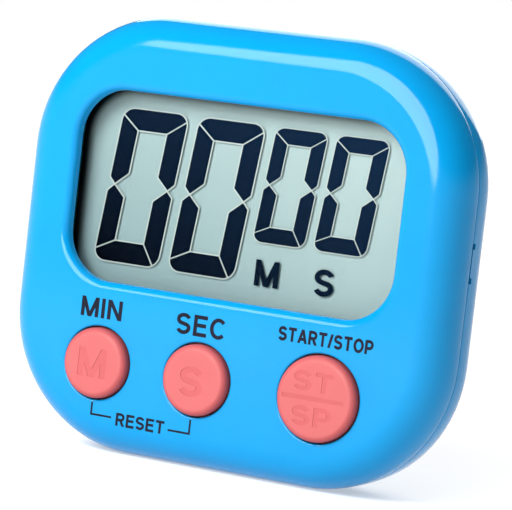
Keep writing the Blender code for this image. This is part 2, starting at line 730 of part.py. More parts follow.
def make_back_case(finish):
    case = back_shell(finish)
    cut(case, back_hollow())
    join(case, back_tongue())
    cutters = add_back_bosses(case) + add_keyhole(case) + add_magnet_pockets(case)
    cutters += add_cell_well(case) + add_stand_pocket(case) + sound_holes()
    cutters.append(pry_notch())
    cut(case, *cutters)
    return case


def make_display(finishes):
    half = GLASS_HALF_WIDTH
    outline = rounded_rectangle(-half, half, GLASS_BOTTOM, GLASS_TOP, WINDOW_CORNER, 4)
    window_back = WINDOW_DEPTH + WINDOW_THICKNESS
    prism("display_window", outline, WINDOW_DEPTH, window_back, finishes["clear"])
    front_back = GLASS_DEPTH + GLASS_THICKNESS
    glass = finishes["glass"]
    block("lcd_front_glass", -half, half, GLASS_BOTTOM, GLASS_TOP, GLASS_DEPTH, front_back, glass)
    rear = front_back + GAP
    rear_back = rear + GLASS_THICKNESS
    block("lcd_rear_glass", -half, half, LEDGE_TOP, GLASS_TOP, rear, rear_back, glass)
    foil_half = half - FOIL_SIDE
    foil_low, foil_high = LEDGE_TOP + FOIL_SIDE / 2, GLASS_TOP - FOIL_SIDE
    foil = rear_back + FOIL_GAP
    block("lcd_reflector", -foil_half, foil_half, foil_low, foil_high, foil, foil + FOIL_THICKNESS,
          finishes["foil"])
    block("zebra_connector", -ZEBRA_HALF_WIDTH, ZEBRA_HALF_WIDTH, GLASS_BOTTOM + GAP, LEDGE_TOP - GAP,
          front_back + GAP, BOARD_DEPTH - GAP, finishes["zebra"])


def make_circuit_board(finish):
    half = BOARD_HALF_WIDTH
    outline = rounded_rectangle(-half, half, BOARD_BOTTOM, BOARD_TOP, BOARD_TOP_CORNER, CORNER_STEPS,
                                BOARD_FOOT_CORNER)
    board = prism("circuit_board", outline, BOARD_DEPTH, BOARD_BACK, finish)
    through = (BOARD_DEPTH - OVERLAP, BOARD_BACK + OVERLAP)
    for i, (x, z) in enumerate(CASE_SCREWS[2:], 1):
        profile = [(FRONT_BOSS_RADIUS + GAP, depth) for depth in through]
        cut(board, turned(f"cut_board_boss_hole_{i}", x, z, profile, steps=20))
    for side, (x, z) in BOARD_SCREWS.items():
        profile = [(BOARD_HOLE_RADIUS, depth) for depth in through]
        cut(board, turned(f"cut_board_screw_hole_{side}", x, z, profile, steps=12))
    return board


def make_board_parts(finishes):
    turned("chip_blob", 0.0, CHIP_Z, CHIP_PROFILE, finishes["epoxy"], 24)
    can_depth = ON_BOARD + CAN_RADIUS
    left, right = point(CRYSTAL_LEFT, CRYSTAL_Z, can_depth), point(CRYSTAL_RIGHT, CRYSTAL_Z, can_depth)
    rod("crystal_can", left, right, CAN_RADIUS, finishes["steel"])
    kinds = (
        ("capacitor", CAPACITOR_LEFT, CAPACITOR_THICKNESS, finishes["ceramic"]),
        ("resistor", RESISTOR_LEFT, RESISTOR_THICKNESS, finishes["resistor"]),
    )
    for i, z in enumerate(CHIP_PART_LEVELS, 1):
        for kind, left, thickness, finish in kinds:
            block(f"{kind}_{i}", left, left + CHIP_PART_LENGTH, z, z + CHIP_PART_WIDTH, ON_BOARD,
                  ON_BOARD + thickness, finish)


def make_buzzer(finishes):
    near = CASE_DEPTH - WALL - GAP - PIEZO_THICKNESS
    disc = [(PIEZO_RADIUS, near), (PIEZO_RADIUS, near + PIEZO_THICKNESS)]
    turned("piezo_disc", PIEZO_X, PIEZO_Z, disc, finishes["brass"])
    ceramic_near = near - GAP - PIEZO_THICKNESS
    ceramic = [(CERAMIC_RADIUS, ceramic_near), (CERAMIC_RADIUS, ceramic_near + PIEZO_THICKNESS)]
    turned("piezo_ceramic", PIEZO_X, PIEZO_Z, ceramic, finishes["ceramic"])
    bow = Vector((0.0, 0.0, WIRE_BOW))
    lift = GAP + WIRE_RADIUS
    starts = {"red": near - lift, "black": ceramic_near - lift}
    for colour, (start, end) in WIRE_ENDS.items():
        begin, finish = point(*start, starts[colour]), point(*end, BOARD_BACK + lift)
        wire(f"piezo_wire_{colour}", begin, finish, bow, WIRE_RADIUS, finishes[f"wire_{colour}"])


def make_key(name, x, z, hole_radius, flange_radius, finishes):
    """The key cap, the rubber dome behind it and the carbon pill that the dome carries."""
    centre = point(x, z, 0.0)
    radius = hole_radius - GAP
    stem = radius - KEY_STEM_INSET
    flange = WALL + GAP
    flange_end = flange + KEY_FLANGE_THICKNESS
    stem_end = flange_end + KEY_STEM_LENGTH
    cap = [(radius - EDGE_ROUND, -KEY_PROUD)]
    for i in range(1, EDGE_STEPS + 1):
        a = math.pi / 2 * i / EDGE_STEPS
        edge = radius - EDGE_ROUND * (1 - math.sin(a))
        cap.append((edge, -KEY_PROUD + EDGE_ROUND * (1 - math.cos(a))))
    cap += [(radius, flange), (flange_radius, flange + HAIR), (flange_radius, flange_end)]
    cap += [(stem, flange_end + HAIR), (stem, stem_end)]
    turned(f"button_{name}", x, z, cap, finishes["key"], 28, centre)
    base = radius - DOME_INSET
    top = stem_end + GAP
    inner_base = base - DOME_THICKNESS
    dome = [
        (DOME_HOLE_RADIUS, top), (stem + DOME_TOP_RIM, top), (base, DOME_SHOULDER), (base, WEB_END),
        (inner_base, WEB_END), (inner_base, DOME_SHOULDER + DOME_STEP),
        (stem, top + DOME_THICKNESS), (DOME_HOLE_RADIUS, top + DOME_THICKNESS),
    ]
    turned_ring(f"key_dome_{name}", x, z, dome, finishes["rubber"], 16)
    pill_near = top + DOME_THICKNESS + GAP
    pill = [(PILL_RADIUS, pill_near), (PILL_RADIUS, pill_near + PILL_THICKNESS)]
    turned(f"contact_pill_{name}", x, z, pill, finishes["carbon"], 12, centre)


def make_keypad_web(finish):
    """The rubber sheet that the key domes stand in."""
    outline = rounded_rectangle(-WEB_HALF_WIDTH, WEB_HALF_WIDTH, WEB_LOW, WEB_HIGH, WEB_TOP_CORNER, 4,
                                WEB_FOOT_CORNER)
    web = prism("keypad_web", outline, WEB_START, WEB_END, finish)
    through = (WEB_START - OVERLAP, WEB_END + OVERLAP)
    for name, (x, z, hole_radius, _) in KEYS.items():
        radius = hole_radius - DOME_INSET
        cut(web, turned(f"cut_web_hole_{name}", x, z, [(radius, depth) for depth in through], steps=24))
    for i, (x, z) in enumerate(CASE_SCREWS[2:], 1):
        profile = [(FRONT_BOSS_RADIUS + GAP, depth) for depth in through]
        cut(web, turned(f"cut_web_boss_{i}", x, z, profile, steps=16))
    for side, (x, z) in BOARD_SCREWS.items():
        profile = [(POST_RADIUS + GAP, depth) for depth in through]
        cut(web, turned(f"cut_web_post_{side}", x, z, profile, steps=16))
    return web


def make_cell(finishes):
    far = CELL_DEPTH + CELL_HEIGHT
    shoulder = CELL_DEPTH + CELL_SHOULDER
    cell = [
        (CELL_RADIUS - CELL_CAP_INSET, CELL_DEPTH),
        (CELL_RADIUS - CELL_CAP_INSET, CELL_DEPTH + CELL_CAP_HEIGHT),
        (CELL_RADIUS - CELL_EDGE, shoulder),
        (CELL_RADIUS, shoulder + 2 * CELL_EDGE),
        (CELL_RADIUS, far - CELL_EDGE),
        (CELL_RADIUS - CELL_EDGE, far),
    ]
    turned("button_cell", CELL_X, CELL_Z, cell, finishes["steel"])
    side = CELL_Z + CELL_RADIUS + GAP
    riser = [(side + CONTACT_TOE, CONTACT_FOOT), (side, CONTACT_FOOT), (side, CELL_DEPTH + CONTACT_RISE)]
    left, right = CELL_X - CONTACT_HALF_WIDTH, CELL_X + CONTACT_HALF_WIDTH
    strip("cell_contact_positive", riser, CONTACT_THICKNESS, left, right, finishes["contact"])
    spring = [(CELL_Z + z, CONTACT_FOOT + lift) for z, lift in SPRING_PATH]
    left, right = CELL_X - SPRING_HALF_WIDTH, CELL_X + SPRING_HALF_WIDTH
    strip("cell_contact_negative", spring, CONTACT_THICKNESS, left, right, finishes["contact"])


def make_battery_door(finish):
    """A round door with two bayonet lugs and a coin slot. Its origin is on its turning axis."""
    radius = DOOR_HOLE_RADIUS - DOOR_SIDE_ROOM
    outside = CASE_DEPTH - DOOR_SUNK
    rim = DOOR_GROOVE_DEPTH + GAP
    lug_end = DOOR_LIP_DEPTH - DOOR_SIDE_ROOM
    cup = [(radius, rim), (radius, outside - DOOR_EDGE), (radius - DOOR_EDGE, outside)]
    centre = point(CELL_X, CELL_Z, outside)
    door = turned("battery_door", CELL_X, CELL_Z, cup, finish, 32, centre)
    room = CELL_RADIUS + DOOR_CELL_ROOM
    for i, angle in enumerate(LUG_ANGLES, 1):
        join(door, sector(f"join_door_lug_{i}", CELL_X, CELL_Z, radius - LUG_ROOT, DOOR_GROOVE_RADIUS - GAP,
                          angle - LUG_HALF_ANGLE, angle + LUG_HALF_ANGLE, rim, lug_end))
    cut(door, turned("cut_door_inside", CELL_X, CELL_Z, [(room, rim - OVERLAP), (room, DOOR_LIP_DEPTH)]))
    long_half, short_half = COIN_SLOT_LENGTH / 2, COIN_SLOT_WIDTH / 2
    slot = block("cut_coin_slot", CELL_X - long_half, CELL_X + long_half, CELL_Z - short_half,
                 CELL_Z + short_half, outside - COIN_SLOT_DEEP, outside + OVERLAP)
    cut(door, slot)
    return door


def make_kick_stand(finish):
    """The fold-out stand: a leaf with a sunk panel, a round hinge edge and a trunnion at each side."""
    hinge = point(0.0, STAND_HINGE_Z, STAND_HINGE_DEPTH)
    half = STAND_HALF_WIDTH
    rise = STAND_THICKNESS / 2
    near, far = STAND_HINGE_DEPTH - rise, STAND_HINGE_DEPTH + rise
    leaf = rounded_rectangle(-half, half, STAND_TIP_Z, STAND_HINGE_Z, STAND_HINGE_CORNER, CORNER_STEPS,
                             STAND_TIP_CORNER)
    stand = prism("kick_stand", leaf, near, far, finish, hinge)
    edge = half - STAND_SINK
    left, right = Vector((-edge, hinge.y, hinge.z)), Vector((edge, hinge.y, hinge.z))
    join(stand, rod("join_stand_edge", left, right, rise - HAIR, steps=20))
    reach = half + TRUNNION_LENGTH
    left, right = Vector((-reach, hinge.y, hinge.z)), Vector((reach, hinge.y, hinge.z))
    join(stand, rod("join_stand_trunnions", left, right, TRUNNION_RADIUS - STAND_SINK, steps=16))
    inner = half - STAND_RAIL
    panel_low, panel_high = STAND_TIP_Z + STAND_PANEL_FOOT, STAND_HINGE_Z - STAND_PANEL_HEAD
    panel = rounded_rectangle(-inner, inner, panel_low, panel_high, STAND_PANEL_RADIUS, 4)
    cut(stand, prism("cut_stand_panel", panel, far - STAND_PANEL_DEEP, far + OVERLAP))
    return stand


def make_magnets(finish):
    far = CASE_DEPTH - MAGNET_SUNK
    for side, (x, z) in MAGNETS.items():
        profile = [
            (MAGNET_RADIUS, far - MAGNET_THICKNESS),
            (MAGNET_RADIUS, far - MAGNET_EDGE),
            (MAGNET_RADIUS - MAGNET_EDGE, far),
        ]
        turned(f"magnet_{side}", x, z, profile, finish)


def screw(name, x, z, seat, size, finish):
    """A pan-head screw with a cross recess, seated at depth seat and pointing to the face."""
    shank_radius, head_radius, head_height, length = size
    tip = seat - length
    top = seat + head_height
    profile = [
        (shank_radius * 0.4, tip), (shank_radius, tip + SCREW_POINT), (shank_radius, seat),
        (head_radius, seat + HAIR), (head_radius, top - head_height * 0.4), (head_radius * 0.7, top),
    ]
    made = turned(name, x, z, profile, finish, 12)
    arm, half = head_radius * 0.6, head_radius * 0.16
    for turn, (reach_x, reach_z) in enumerate(((arm, half), (half, arm))):
        cut(made, block(f"cut_{name}_{turn}", x - reach_x, x + reach_x, z - reach_z, z + reach_z,
                        top - head_height * 0.5, top + OVERLAP))
    return made


def make_screws(finish):
    for i, (x, z) in enumerate(CASE_SCREWS, 1):
        screw(f"case_screw_{i}", x, z, SCREW_SEAT_DEPTH + GAP, CASE_SCREW_SIZE, finish)
    for side, (x, z) in BOARD_SCREWS.items():
        screw(f"board_screw_{side}", x, z, BOARD_BACK + GAP, BOARD_SCREW_SIZE, finish)


def make_timer():
    finishes = {
        "shell": material("blue_shell", (0.02, 0.48, 0.95), 0.22),
        "key": material("coral_key", (1.0, 0.26, 0.25), 0.55),
        "clear": material("clear_window", (0.95, 0.97, 0.97), 0.05, alpha=0.3),
        "glass": material("lcd_glass", (0.42, 0.55, 0.50), 0.1),
        "foil": material("lcd_foil", (0.65, 0.7, 0.68), 0.4, 0.6),
        "zebra": material("zebra_rubber", (0.55, 0.3, 0.35), 0.7),
        "board": material("board_green", (0.02, 0.22, 0.09), 0.5),
        "epoxy": material("black_epoxy", (0.01, 0.01, 0.012), 0.35),
        "ceramic": material("pale_ceramic", (0.62, 0.55, 0.42), 0.6),
        "resistor": material("resistor_black", (0.02, 0.02, 0.02), 0.5),
        "brass": material("brass_plate", (0.8, 0.58, 0.2), 0.3, 1.0),
        "steel": material("bright_steel", (0.6, 0.6, 0.6), 0.25, 1.0),
        "contact": material("contact_metal", (0.75, 0.72, 0.62), 0.3, 1.0),
        "rubber": material("keypad_rubber", (0.7, 0.7, 0.68), 0.8),
        "carbon": material("carbon_pill", (0.01, 0.01, 0.01), 0.8),
        "wire_red": material("wire_red", (0.6, 0.02, 0.02), 0.5),
        "wire_black": material("wire_black", (0.015, 0.015, 0.015), 0.5),
        "screw": material("screw_steel", (0.35, 0.35, 0.36), 0.35, 1.0),
        "magnet": material("magnet_nickel", (0.55, 0.56, 0.58), 0.25, 1.0),
    }
    make_front_case(finishes["shell"])
    make_back_case(finishes["shell"])
    make_display(finishes)
    make_circuit_board(finishes["board"])
    make_board_parts(finishes)
    make_buzzer(finishes)
    for name, (x, z, hole_radius, flange_radius) in KEYS.items():
        make_key(name, x, z, hole_radius, flange_radius, finishes)
    make_keypad_web(finishes["rubber"])
    make_cell(finishes)
    make_battery_door(finishes["shell"])
    make_kick_stand(finishes["shell"])
    make_magnets(finishes["magnet"])
    make_screws(finishes["screw"])


clear_scene()
make_timer()
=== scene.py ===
import json
import math

import bmesh
import bpy
from mathutils import Matrix, Vector


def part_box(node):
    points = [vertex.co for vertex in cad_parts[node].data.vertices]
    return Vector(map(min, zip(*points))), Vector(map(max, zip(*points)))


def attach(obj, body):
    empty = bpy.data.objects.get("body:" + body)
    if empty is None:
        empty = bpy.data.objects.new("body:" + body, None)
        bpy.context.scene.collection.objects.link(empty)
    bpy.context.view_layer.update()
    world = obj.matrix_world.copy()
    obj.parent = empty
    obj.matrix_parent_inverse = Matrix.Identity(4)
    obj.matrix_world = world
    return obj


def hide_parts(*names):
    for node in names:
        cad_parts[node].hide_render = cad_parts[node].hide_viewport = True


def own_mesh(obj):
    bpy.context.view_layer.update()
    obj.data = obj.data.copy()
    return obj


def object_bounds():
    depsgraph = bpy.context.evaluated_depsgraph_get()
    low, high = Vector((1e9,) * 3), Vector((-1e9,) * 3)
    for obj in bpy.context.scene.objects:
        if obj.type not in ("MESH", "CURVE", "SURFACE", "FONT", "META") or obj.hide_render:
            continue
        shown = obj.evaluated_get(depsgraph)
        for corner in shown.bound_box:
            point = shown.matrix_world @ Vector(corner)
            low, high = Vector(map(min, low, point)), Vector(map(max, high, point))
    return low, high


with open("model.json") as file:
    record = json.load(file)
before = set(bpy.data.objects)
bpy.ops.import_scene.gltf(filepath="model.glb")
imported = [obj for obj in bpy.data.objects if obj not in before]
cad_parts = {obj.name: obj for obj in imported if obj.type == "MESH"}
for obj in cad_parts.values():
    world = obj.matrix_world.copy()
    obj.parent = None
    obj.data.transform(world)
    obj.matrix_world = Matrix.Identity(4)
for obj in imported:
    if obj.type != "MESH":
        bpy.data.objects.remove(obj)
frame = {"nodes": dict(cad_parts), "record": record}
cad_low, cad_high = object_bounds()

MM = 0.001

# The case, from the frame. Depth is the distance behind the face plane.
front_low, front_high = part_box("front_case")
FACE_Y = front_low.y
CASE_HALF = front_high.x
CASE_TOP = front_high.z
CASE_DEPTH = cad_high.y - FACE_Y

# Case outline and sections
CORNER_RADIUS = 20.5 * MM
WALL = 1.8 * MM
FACE_ROUND_INSET = 5.0 * MM
FACE_ROUND_DEPTH = 5.8 * MM
SEAM_DEPTH = 6.2 * MM
SEAM_GAP = 0.12 * MM
SEAM_EDGE = 0.16 * MM
BACK_ROUND_START = 8.2 * MM
BACK_ROUND_INSET = 7.6 * MM
FOOT_ROUND_START = 10.5 * MM
FOOT_ROUND_INSET = 5.0 * MM
SUPPORT = 0.3 * MM
OVERLAP = 0.5 * MM
HAIR = 0.01 * MM
CORNER_STEPS = 20
ROUND_STEPS = 20
MERGE = 0.0002 * MM
SHARP = math.radians(35)

# The window opening
OPENING_HALF = 26.05 * MM
OPENING_RISE = 13.95 * MM
OPENING_RADIUS = 7.2 * MM
OPENING_Z = CASE_TOP / 2 + 6.85 * MM
LIP_ROUND = 1.1 * MM
LIP_STEPS = 8

# The display
DIGIT_DEPTH = 4.0 * MM
PANEL_DEPTH = 4.35 * MM

# The keys: name, hole radius
KEY_HOLES = {"min": 5.38 * MM, "sec": 5.38 * MM, "start_stop": 6.35 * MM}
KEY_HOLE_EDGE = 0.25 * MM

# Inside the front case
REBATE_INSET = 0.95 * MM
REBATE_DEPTH = 4.9 * MM
HOLLOW_FRONT_INSET = 3.6 * MM
HOLLOW_FRONT_DEPTH = 4.0 * MM

# Inside the back case
HOLLOW_STEPS = 8
HOLLOW_BACK_INSET = 6.4 * MM
HOLLOW_FOOT_INSET = 4.2 * MM
TONGUE_INSET = 1.25 * MM
TONGUE_THICKNESS = 0.8 * MM
TONGUE_START = 5.2 * MM
HOLLOW_OVERRUN = 1.0 * MM
BOSS_RADIUS = 2.9 * MM
BOSS_START = 9.0 * MM
POCKET_SKIN = 1.2 * MM
HOLE_LIP = 0.25 * MM
MAGNET_LIP = 0.2 * MM
SCOOP_LIP = 0.4 * MM
SOUND_LIP = 0.12 * MM

# Case screws
CASE_SCREWS = [(x * MM, z * MM) for x, z in ((-18.0, 57.2), (18.0, 57.2), (-9.0, 6.8), (9.0, 6.8))]
SCREW_HOLE_RADIUS = 1.1 * MM
SCREW_WELL_RADIUS = 2.2 * MM
SCREW_SEAT_DEPTH = 11.9 * MM
HEAD_HEIGHT = 1.3 * MM
SHANK_RADIUS = 0.7 * MM
THREAD_PITCH = 0.5 * MM

# The battery door
CELL_X, CELL_Z = -19.0 * MM, 17.0 * MM
WELL_RADIUS = 6.1 * MM
WELL_DEPTH = 9.0 * MM
DOOR_HOLE_RADIUS = 8.3 * MM
DOOR_GROOVE_RADIUS = 9.4 * MM
DOOR_GROOVE_DEPTH = 13.0 * MM
DOOR_LIP_DEPTH = 14.2 * MM
DOOR_TURN = 45
DOOR_RADIUS = DOOR_HOLE_RADIUS - 0.25 * MM
DOOR_EDGE = 0.4 * MM
LUG_ANGLES = (90, 270)
LUG_HALF_ANGLE = 14
NOTCH_HALF_ANGLE = 18
LUG_ROOT = 0.8 * MM
COIN_SLOT_HALF = 5.5 * MM
COIN_SLOT_RISE = 0.9 * MM
COIN_SLOT_DEEP = 0.7 * MM
GROOVE_WALL = 1.1 * MM
GROOVE_SHELF = 1.3 * MM
CONTACT_SLOT_HALF = 2.6 * MM

# The stand and its pocket
STAND_HALF_WIDTH = 8.4 * MM
STAND_THICKNESS = 1.7 * MM
STAND_TIP_Z = 10.6 * MM
STAND_RAIL = 2.6 * MM
STAND_EDGE = 0.3 * MM
PANEL_DEEP = 0.5 * MM
HINGE_Z = 40.4 * MM
HINGE_DEPTH = 14.4 * MM
TRUNNION_RADIUS = 0.8 * MM
TRUNNION_LENGTH = 1.2 * MM
POCKET_HALF_WIDTH = STAND_HALF_WIDTH + 0.5 * MM
POCKET_WALL = 2.1 * MM
POCKET_LOW = 10.2 * MM
POCKET_HIGH = 41.75 * MM
POCKET_DEPTH = 13.3 * MM
POCKET_FLOOR = 1.4 * MM
POCKET_END_WALL = 1.3 * MM
SCOOP_HALF = 4.0 * MM
SCOOP_DEEP = 1.1 * MM

# The magnets, the keyhole, the sound holes and the notches in the seam
MAGNETS = {"left": (-20.0 * MM, 44.0 * MM), "right": (20.0 * MM, 44.0 * MM)}
MAGNET_POCKET_RADIUS = 6.2 * MM
MAGNET_FLOOR = 13.1 * MM
KEYHOLE_Z = 48.4 * MM
KEYHOLE_TOP = 53.0 * MM
KEYHOLE_RADIUS = 3.2 * MM
KEYHOLE_SLOT = 3.2 * MM
KEYHOLE_NEAR = 11.9 * MM
KEYHOLE_SKIN = 1.1 * MM
KEYHOLE_ROOM = 0.5 * MM
PIEZO_X, PIEZO_Z = 20.0 * MM, 17.0 * MM
SOUND_HOLE_RADIUS = 0.65 * MM
SOUND_HOLE_RING = 2.6 * MM
NOTCH_Z = (32.4 * MM, 37.2 * MM)
NOTCH_DEEP = 0.35 * MM
NOTCH_END_DEEP = 0.9 * MM
NOTCH_END_HALF = 0.4 * MM


# ---- Geometry ----

def point(x, z, depth):
    return Vector((x, FACE_Y + depth, z))


def rounded_rectangle(left, right, low, high, radius, low_radius=None, steps=CORNER_STEPS):
    """Outline points (x, z), anticlockwise from the right side."""
    low_radius = radius if low_radius is None else low_radius
    corners = (
        (right - radius, high - radius, 0, radius),
        (left + radius, high - radius, 90, radius),
        (left + low_radius, low + low_radius, 180, low_radius),
        (right - low_radius, low + low_radius, 270, low_radius),
    )
    outline = []
    for x, z, start, corner_radius in corners:
        for i in range(steps + 1):
            a = math.radians(start + 90 * i / steps)
            outline.append((x + corner_radius * math.cos(a), z + corner_radius * math.sin(a)))
    return outline


def case_outline(inset, foot_inset=None, steps=CORNER_STEPS):
    foot_inset = inset if foot_inset is None else foot_inset
    half = CASE_HALF - inset
    return rounded_rectangle(-half, half, foot_inset, CASE_TOP - inset, CORNER_RADIUS - inset, steps=steps)


def circle(x, z, radius, steps=64):
    turns = [2 * math.pi * i / steps for i in range(steps)]
    return [(x + radius * math.cos(a), z + radius * math.sin(a)) for a in turns]


def opening_outline(grow=0.0):
    half, rise = OPENING_HALF + grow, OPENING_RISE + grow
    return rounded_rectangle(-half, half, OPENING_Z - rise, OPENING_Z + rise, OPENING_RADIUS + grow)


def quarter(inset, depth, steps):
    """(inset, depth) along a quarter ellipse, from the flat face to the upright side."""
    angles = [math.pi / 2 * i / steps for i in range(steps + 1)]
    return [(inset * (1 - math.sin(a)), depth * (1 - math.cos(a))) for a in angles]


def near_edge(radius, edge, depth, steps):
    """(radius, depth) round the near edge of a disc."""
    return [(radius - inset, depth + down) for inset, down in quarter(edge, edge, steps)]


def far_edge(radius, edge, depth, steps):
    return [(radius - inset, depth - down) for inset, down in reversed(quarter(edge, edge, steps))]


def depths(node):
    """The depths of a CAD node's near and far sides."""
    low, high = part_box(node)
    return low.y - FACE_Y, high.y - FACE_Y


def ring(bm, outline, depth):
    return [bm.verts.new(point(x, z, depth)) for x, z in outline]


def skin(bm, loops):
    """Quads between each loop of vertices and the next."""
    for a, b in zip(loops, loops[1:]):
        count = len(a)
        for i in range(count):
            j = (i + 1) % count
            bm.faces.new((a[i], a[j], b[j], b[i]))


def loop_edges(bm, loop):
    edges = []
    for i, v in enumerate(loop):
        other = loop[(i + 1) % len(loop)]
        edges.append(bm.edges.get((v, other)) or bm.edges.new((v, other)))
    return edges


def fill(bm, *loops):
    """A flat face inside the first loop, with the other loops as holes."""
    edges = [e for loop in loops for e in loop_edges(bm, loop)]
    bmesh.ops.triangle_fill(bm, use_beauty=True, use_dissolve=False, edges=edges, normal=(0, -1, 0))


def make_object(name, bm):
    bmesh.ops.recalc_face_normals(bm, faces=bm.faces)
    mesh = bpy.data.meshes.new(name)
    bm.to_mesh(mesh)
    bm.free()
    mesh.shade_smooth()
    mesh.set_sharp_from_angle(angle=SHARP)
    obj = bpy.data.objects.new(name, mesh)
    bpy.context.scene.collection.objects.link(obj)
    return obj


def loft(name, rings):
    """A closed solid through (outline, depth) sections, with flat ends."""
    bm = bmesh.new()
    loops = [ring(bm, outline, depth) for outline, depth in rings]
    skin(bm, loops)
    bm.faces.new(loops[0])
    bm.faces.new(loops[-1])
    return make_object(name, bm)


def closed_loft(name, rings):
    """A solid through (outline, depth) sections that come back to the first one."""
    bm = bmesh.new()
    loops = [ring(bm, outline, depth) for outline, depth in rings]
    skin(bm, loops + loops[:1])
    return make_object(name, bm)


def turned(name, x, z, profile, steps=64):
    return loft(name, [(circle(x, z, radius, steps), depth) for radius, depth in profile])


def block(name, left, right, low, high, near, far):
    outline = [(right, low), (right, high), (left, high), (left, low)]
    return loft(name, [(outline, near), (outline, far)])


def rod(name, start, end, radius, steps=32):
    along = end - start
    bm = bmesh.new()
    bmesh.ops.create_cone(bm, cap_ends=True, segments=steps, radius1=radius, radius2=radius,
                          depth=along.length)
    turn = along.to_track_quat("Z", "Y").to_matrix().to_4x4()
    bmesh.ops.transform(bm, matrix=Matrix.Translation((start + end) / 2) @ turn, verts=bm.verts)
    return make_object(name, bm)


def combine(target, tools, operation, use_self=False):
    """Joins tools to target or cuts them out of it one at a time, and leaves one plain mesh."""
    for tool in tools:
        modifier = target.modifiers.new(tool.name, "BOOLEAN")
        modifier.operation = operation
        modifier.solver = "EXACT"
        modifier.use_self = use_self
        modifier.object = tool
        evaluated = target.evaluated_get(bpy.context.evaluated_depsgraph_get())
        mesh = bpy.data.meshes.new_from_object(evaluated)
        target.modifiers.clear()
        bm = bmesh.new()
        bm.from_mesh(mesh)
        bmesh.ops.remove_doubles(bm, verts=bm.verts, dist=MERGE)
        bmesh.ops.dissolve_degenerate(bm, edges=bm.edges, dist=MERGE)
        bm.to_mesh(mesh)
        bm.free()
        target.data = mesh
        bpy.data.objects.remove(tool)
    target.data.shade_smooth()
    target.data.set_sharp_from_angle(angle=SHARP)
    return target


def cut(target, *tools):
    return combine(target, tools, "DIFFERENCE")


def join(target, *tools):
    return combine(target, tools, "UNION")


def finish(obj, body, slot, *nodes, material=None):
    """Gives a piece its body and a material, which is the slot's finish unless another is named, and hides the
    CAD nodes given.
    """
    obj.data.materials.clear()
    obj.data.materials.append(material or FINISHES[slot])
    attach(obj, body)
    if nodes:
        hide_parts(*nodes)
    return obj


# ---- Lettering ----

# HALF is half a stroke's width, for a capital 1 high. Strokes keep it inside the letter's outline.
HALF = 0.085


def bowl(low, width):
    """The round part of P and R, down to low."""
    high = 1 - HALF
    rise = (high - low) / 2
    x = width - HALF - rise
    return [(HALF, high), (x, high), (x, low + rise, rise, rise, 90, -90), (HALF, low)]


def s_curve(width):
    """Two arcs with a smooth spine between them."""
    rx, ry = width / 2 - HALF, (0.5 - HALF) / 2 + 0.01
    turn = math.radians(205)
    start = Vector((width / 2 + rx * math.cos(turn), 1 - HALF - ry + ry * math.sin(turn)))
    end = Vector((width, 1.0)) - start
    along = Vector((-rx * math.sin(turn), ry * math.cos(turn))).normalized() * 0.45
    spine = []
    for i in range(1, 10):
        t = i / 10
        place = start.lerp(end, t * t * (3 - 2 * t)) + along * (t * (1 - t) ** 2 - t * t * (1 - t))
        spine.append(tuple(place))
    x = width / 2
    return [(x, 1 - HALF - ry, rx, ry, 20, 205)] + spine + [(x, HALF + ry, rx, ry, 25, -160)]


# Each capital's width, lines (x, z, x, z) and curves, which are lists of points and arcs
# (x, z, half width, half height, start, end)
LETTERS = {
    "I": (2 * HALF, [(HALF, 0, HALF, 1)], []),
    "M": (0.92, [(HALF, 0, HALF, 1), (0.92 - HALF, 0, 0.92 - HALF, 1), (HALF, 1, 0.46, 0),
                 (0.92 - HALF, 1, 0.46, 0)], []),
    "N": (0.76, [(HALF, 0, HALF, 1), (0.76 - HALF, 0, 0.76 - HALF, 1), (HALF, 1, 0.76 - HALF, 0)], []),
    "E": (0.68, [(HALF, 0, HALF, 1), (0, HALF, 0.68, HALF), (0, 0.52, 0.63, 0.52),
                 (0, 1 - HALF, 0.68, 1 - HALF)], []),
    "T": (0.72, [(0.36, 0, 0.36, 1), (0, 1 - HALF, 0.72, 1 - HALF)], []),
    "A": (0.82, [(HALF, 0, 0.41, 1), (0.82 - HALF, 0, 0.41, 1), (0.2, 0.3, 0.62, 0.3)], []),
    "P": (0.7, [(HALF, 0, HALF, 1)], [bowl(0.42, 0.7)]),
    "R": (0.74, [(HALF, 0, HALF, 1), (0.38, 0.48, 0.74 - HALF, 0)], [bowl(0.47, 0.72)]),
    "/": (0.36, [(0.06, 0, 0.3, 1)], []),
    "S": (0.72, [], [s_curve(0.72)]),
    "C": (0.8, [], [[(0.42, 0.5, 0.42 - HALF, 0.5 - HALF, 42, 318)]]),
    "O": (0.86, [], [[(0.43, 0.5, 0.43 - HALF, 0.5 - HALF, 0, 360)]]),
}


def curve_points(parts, steps=20):
    points = []
    for part in parts:
        if len(part) == 2:
            points.append(part)
            continue
        x, z, rx, rz, start, end = part
        for i in range(steps + 1):
            a = math.radians(start + (end - start) * i / steps)
            points.append((x + rx * math.cos(a), z + rz * math.sin(a)))
    return points


def stroke_sections(stroke, half):
    """Pairs of points on the two sides of a stroke."""
    if isinstance(stroke, tuple):
        x0, z0, x1, z1 = stroke
        run, rise = abs(x1 - x0), abs(z1 - z0)
        reach = half * math.hypot(run, rise)
        side = Vector((reach / rise, 0)) if rise > 0.5 * run else Vector((0, reach / run))
        return [(Vector(p) + side, Vector(p) - side) for p in ((x0, z0), (x1, z1))]
    points = [Vector(p) for p in curve_points(stroke)]
    closed = (points[0] - points[-1]).length < 1e-6
    if closed:
        points.pop()
    sections = []
    count = len(points)
    for i, p in enumerate(points):
        before = points[i - 1] if closed or i else p
        after = points[(i + 1) % count] if closed or i < count - 1 else p
        along = (after - before).normalized()
        side = Vector((-along.y, along.x)) * half
        sections.append((p + side, p - side))
    return sections + sections[:1] if closed else sections


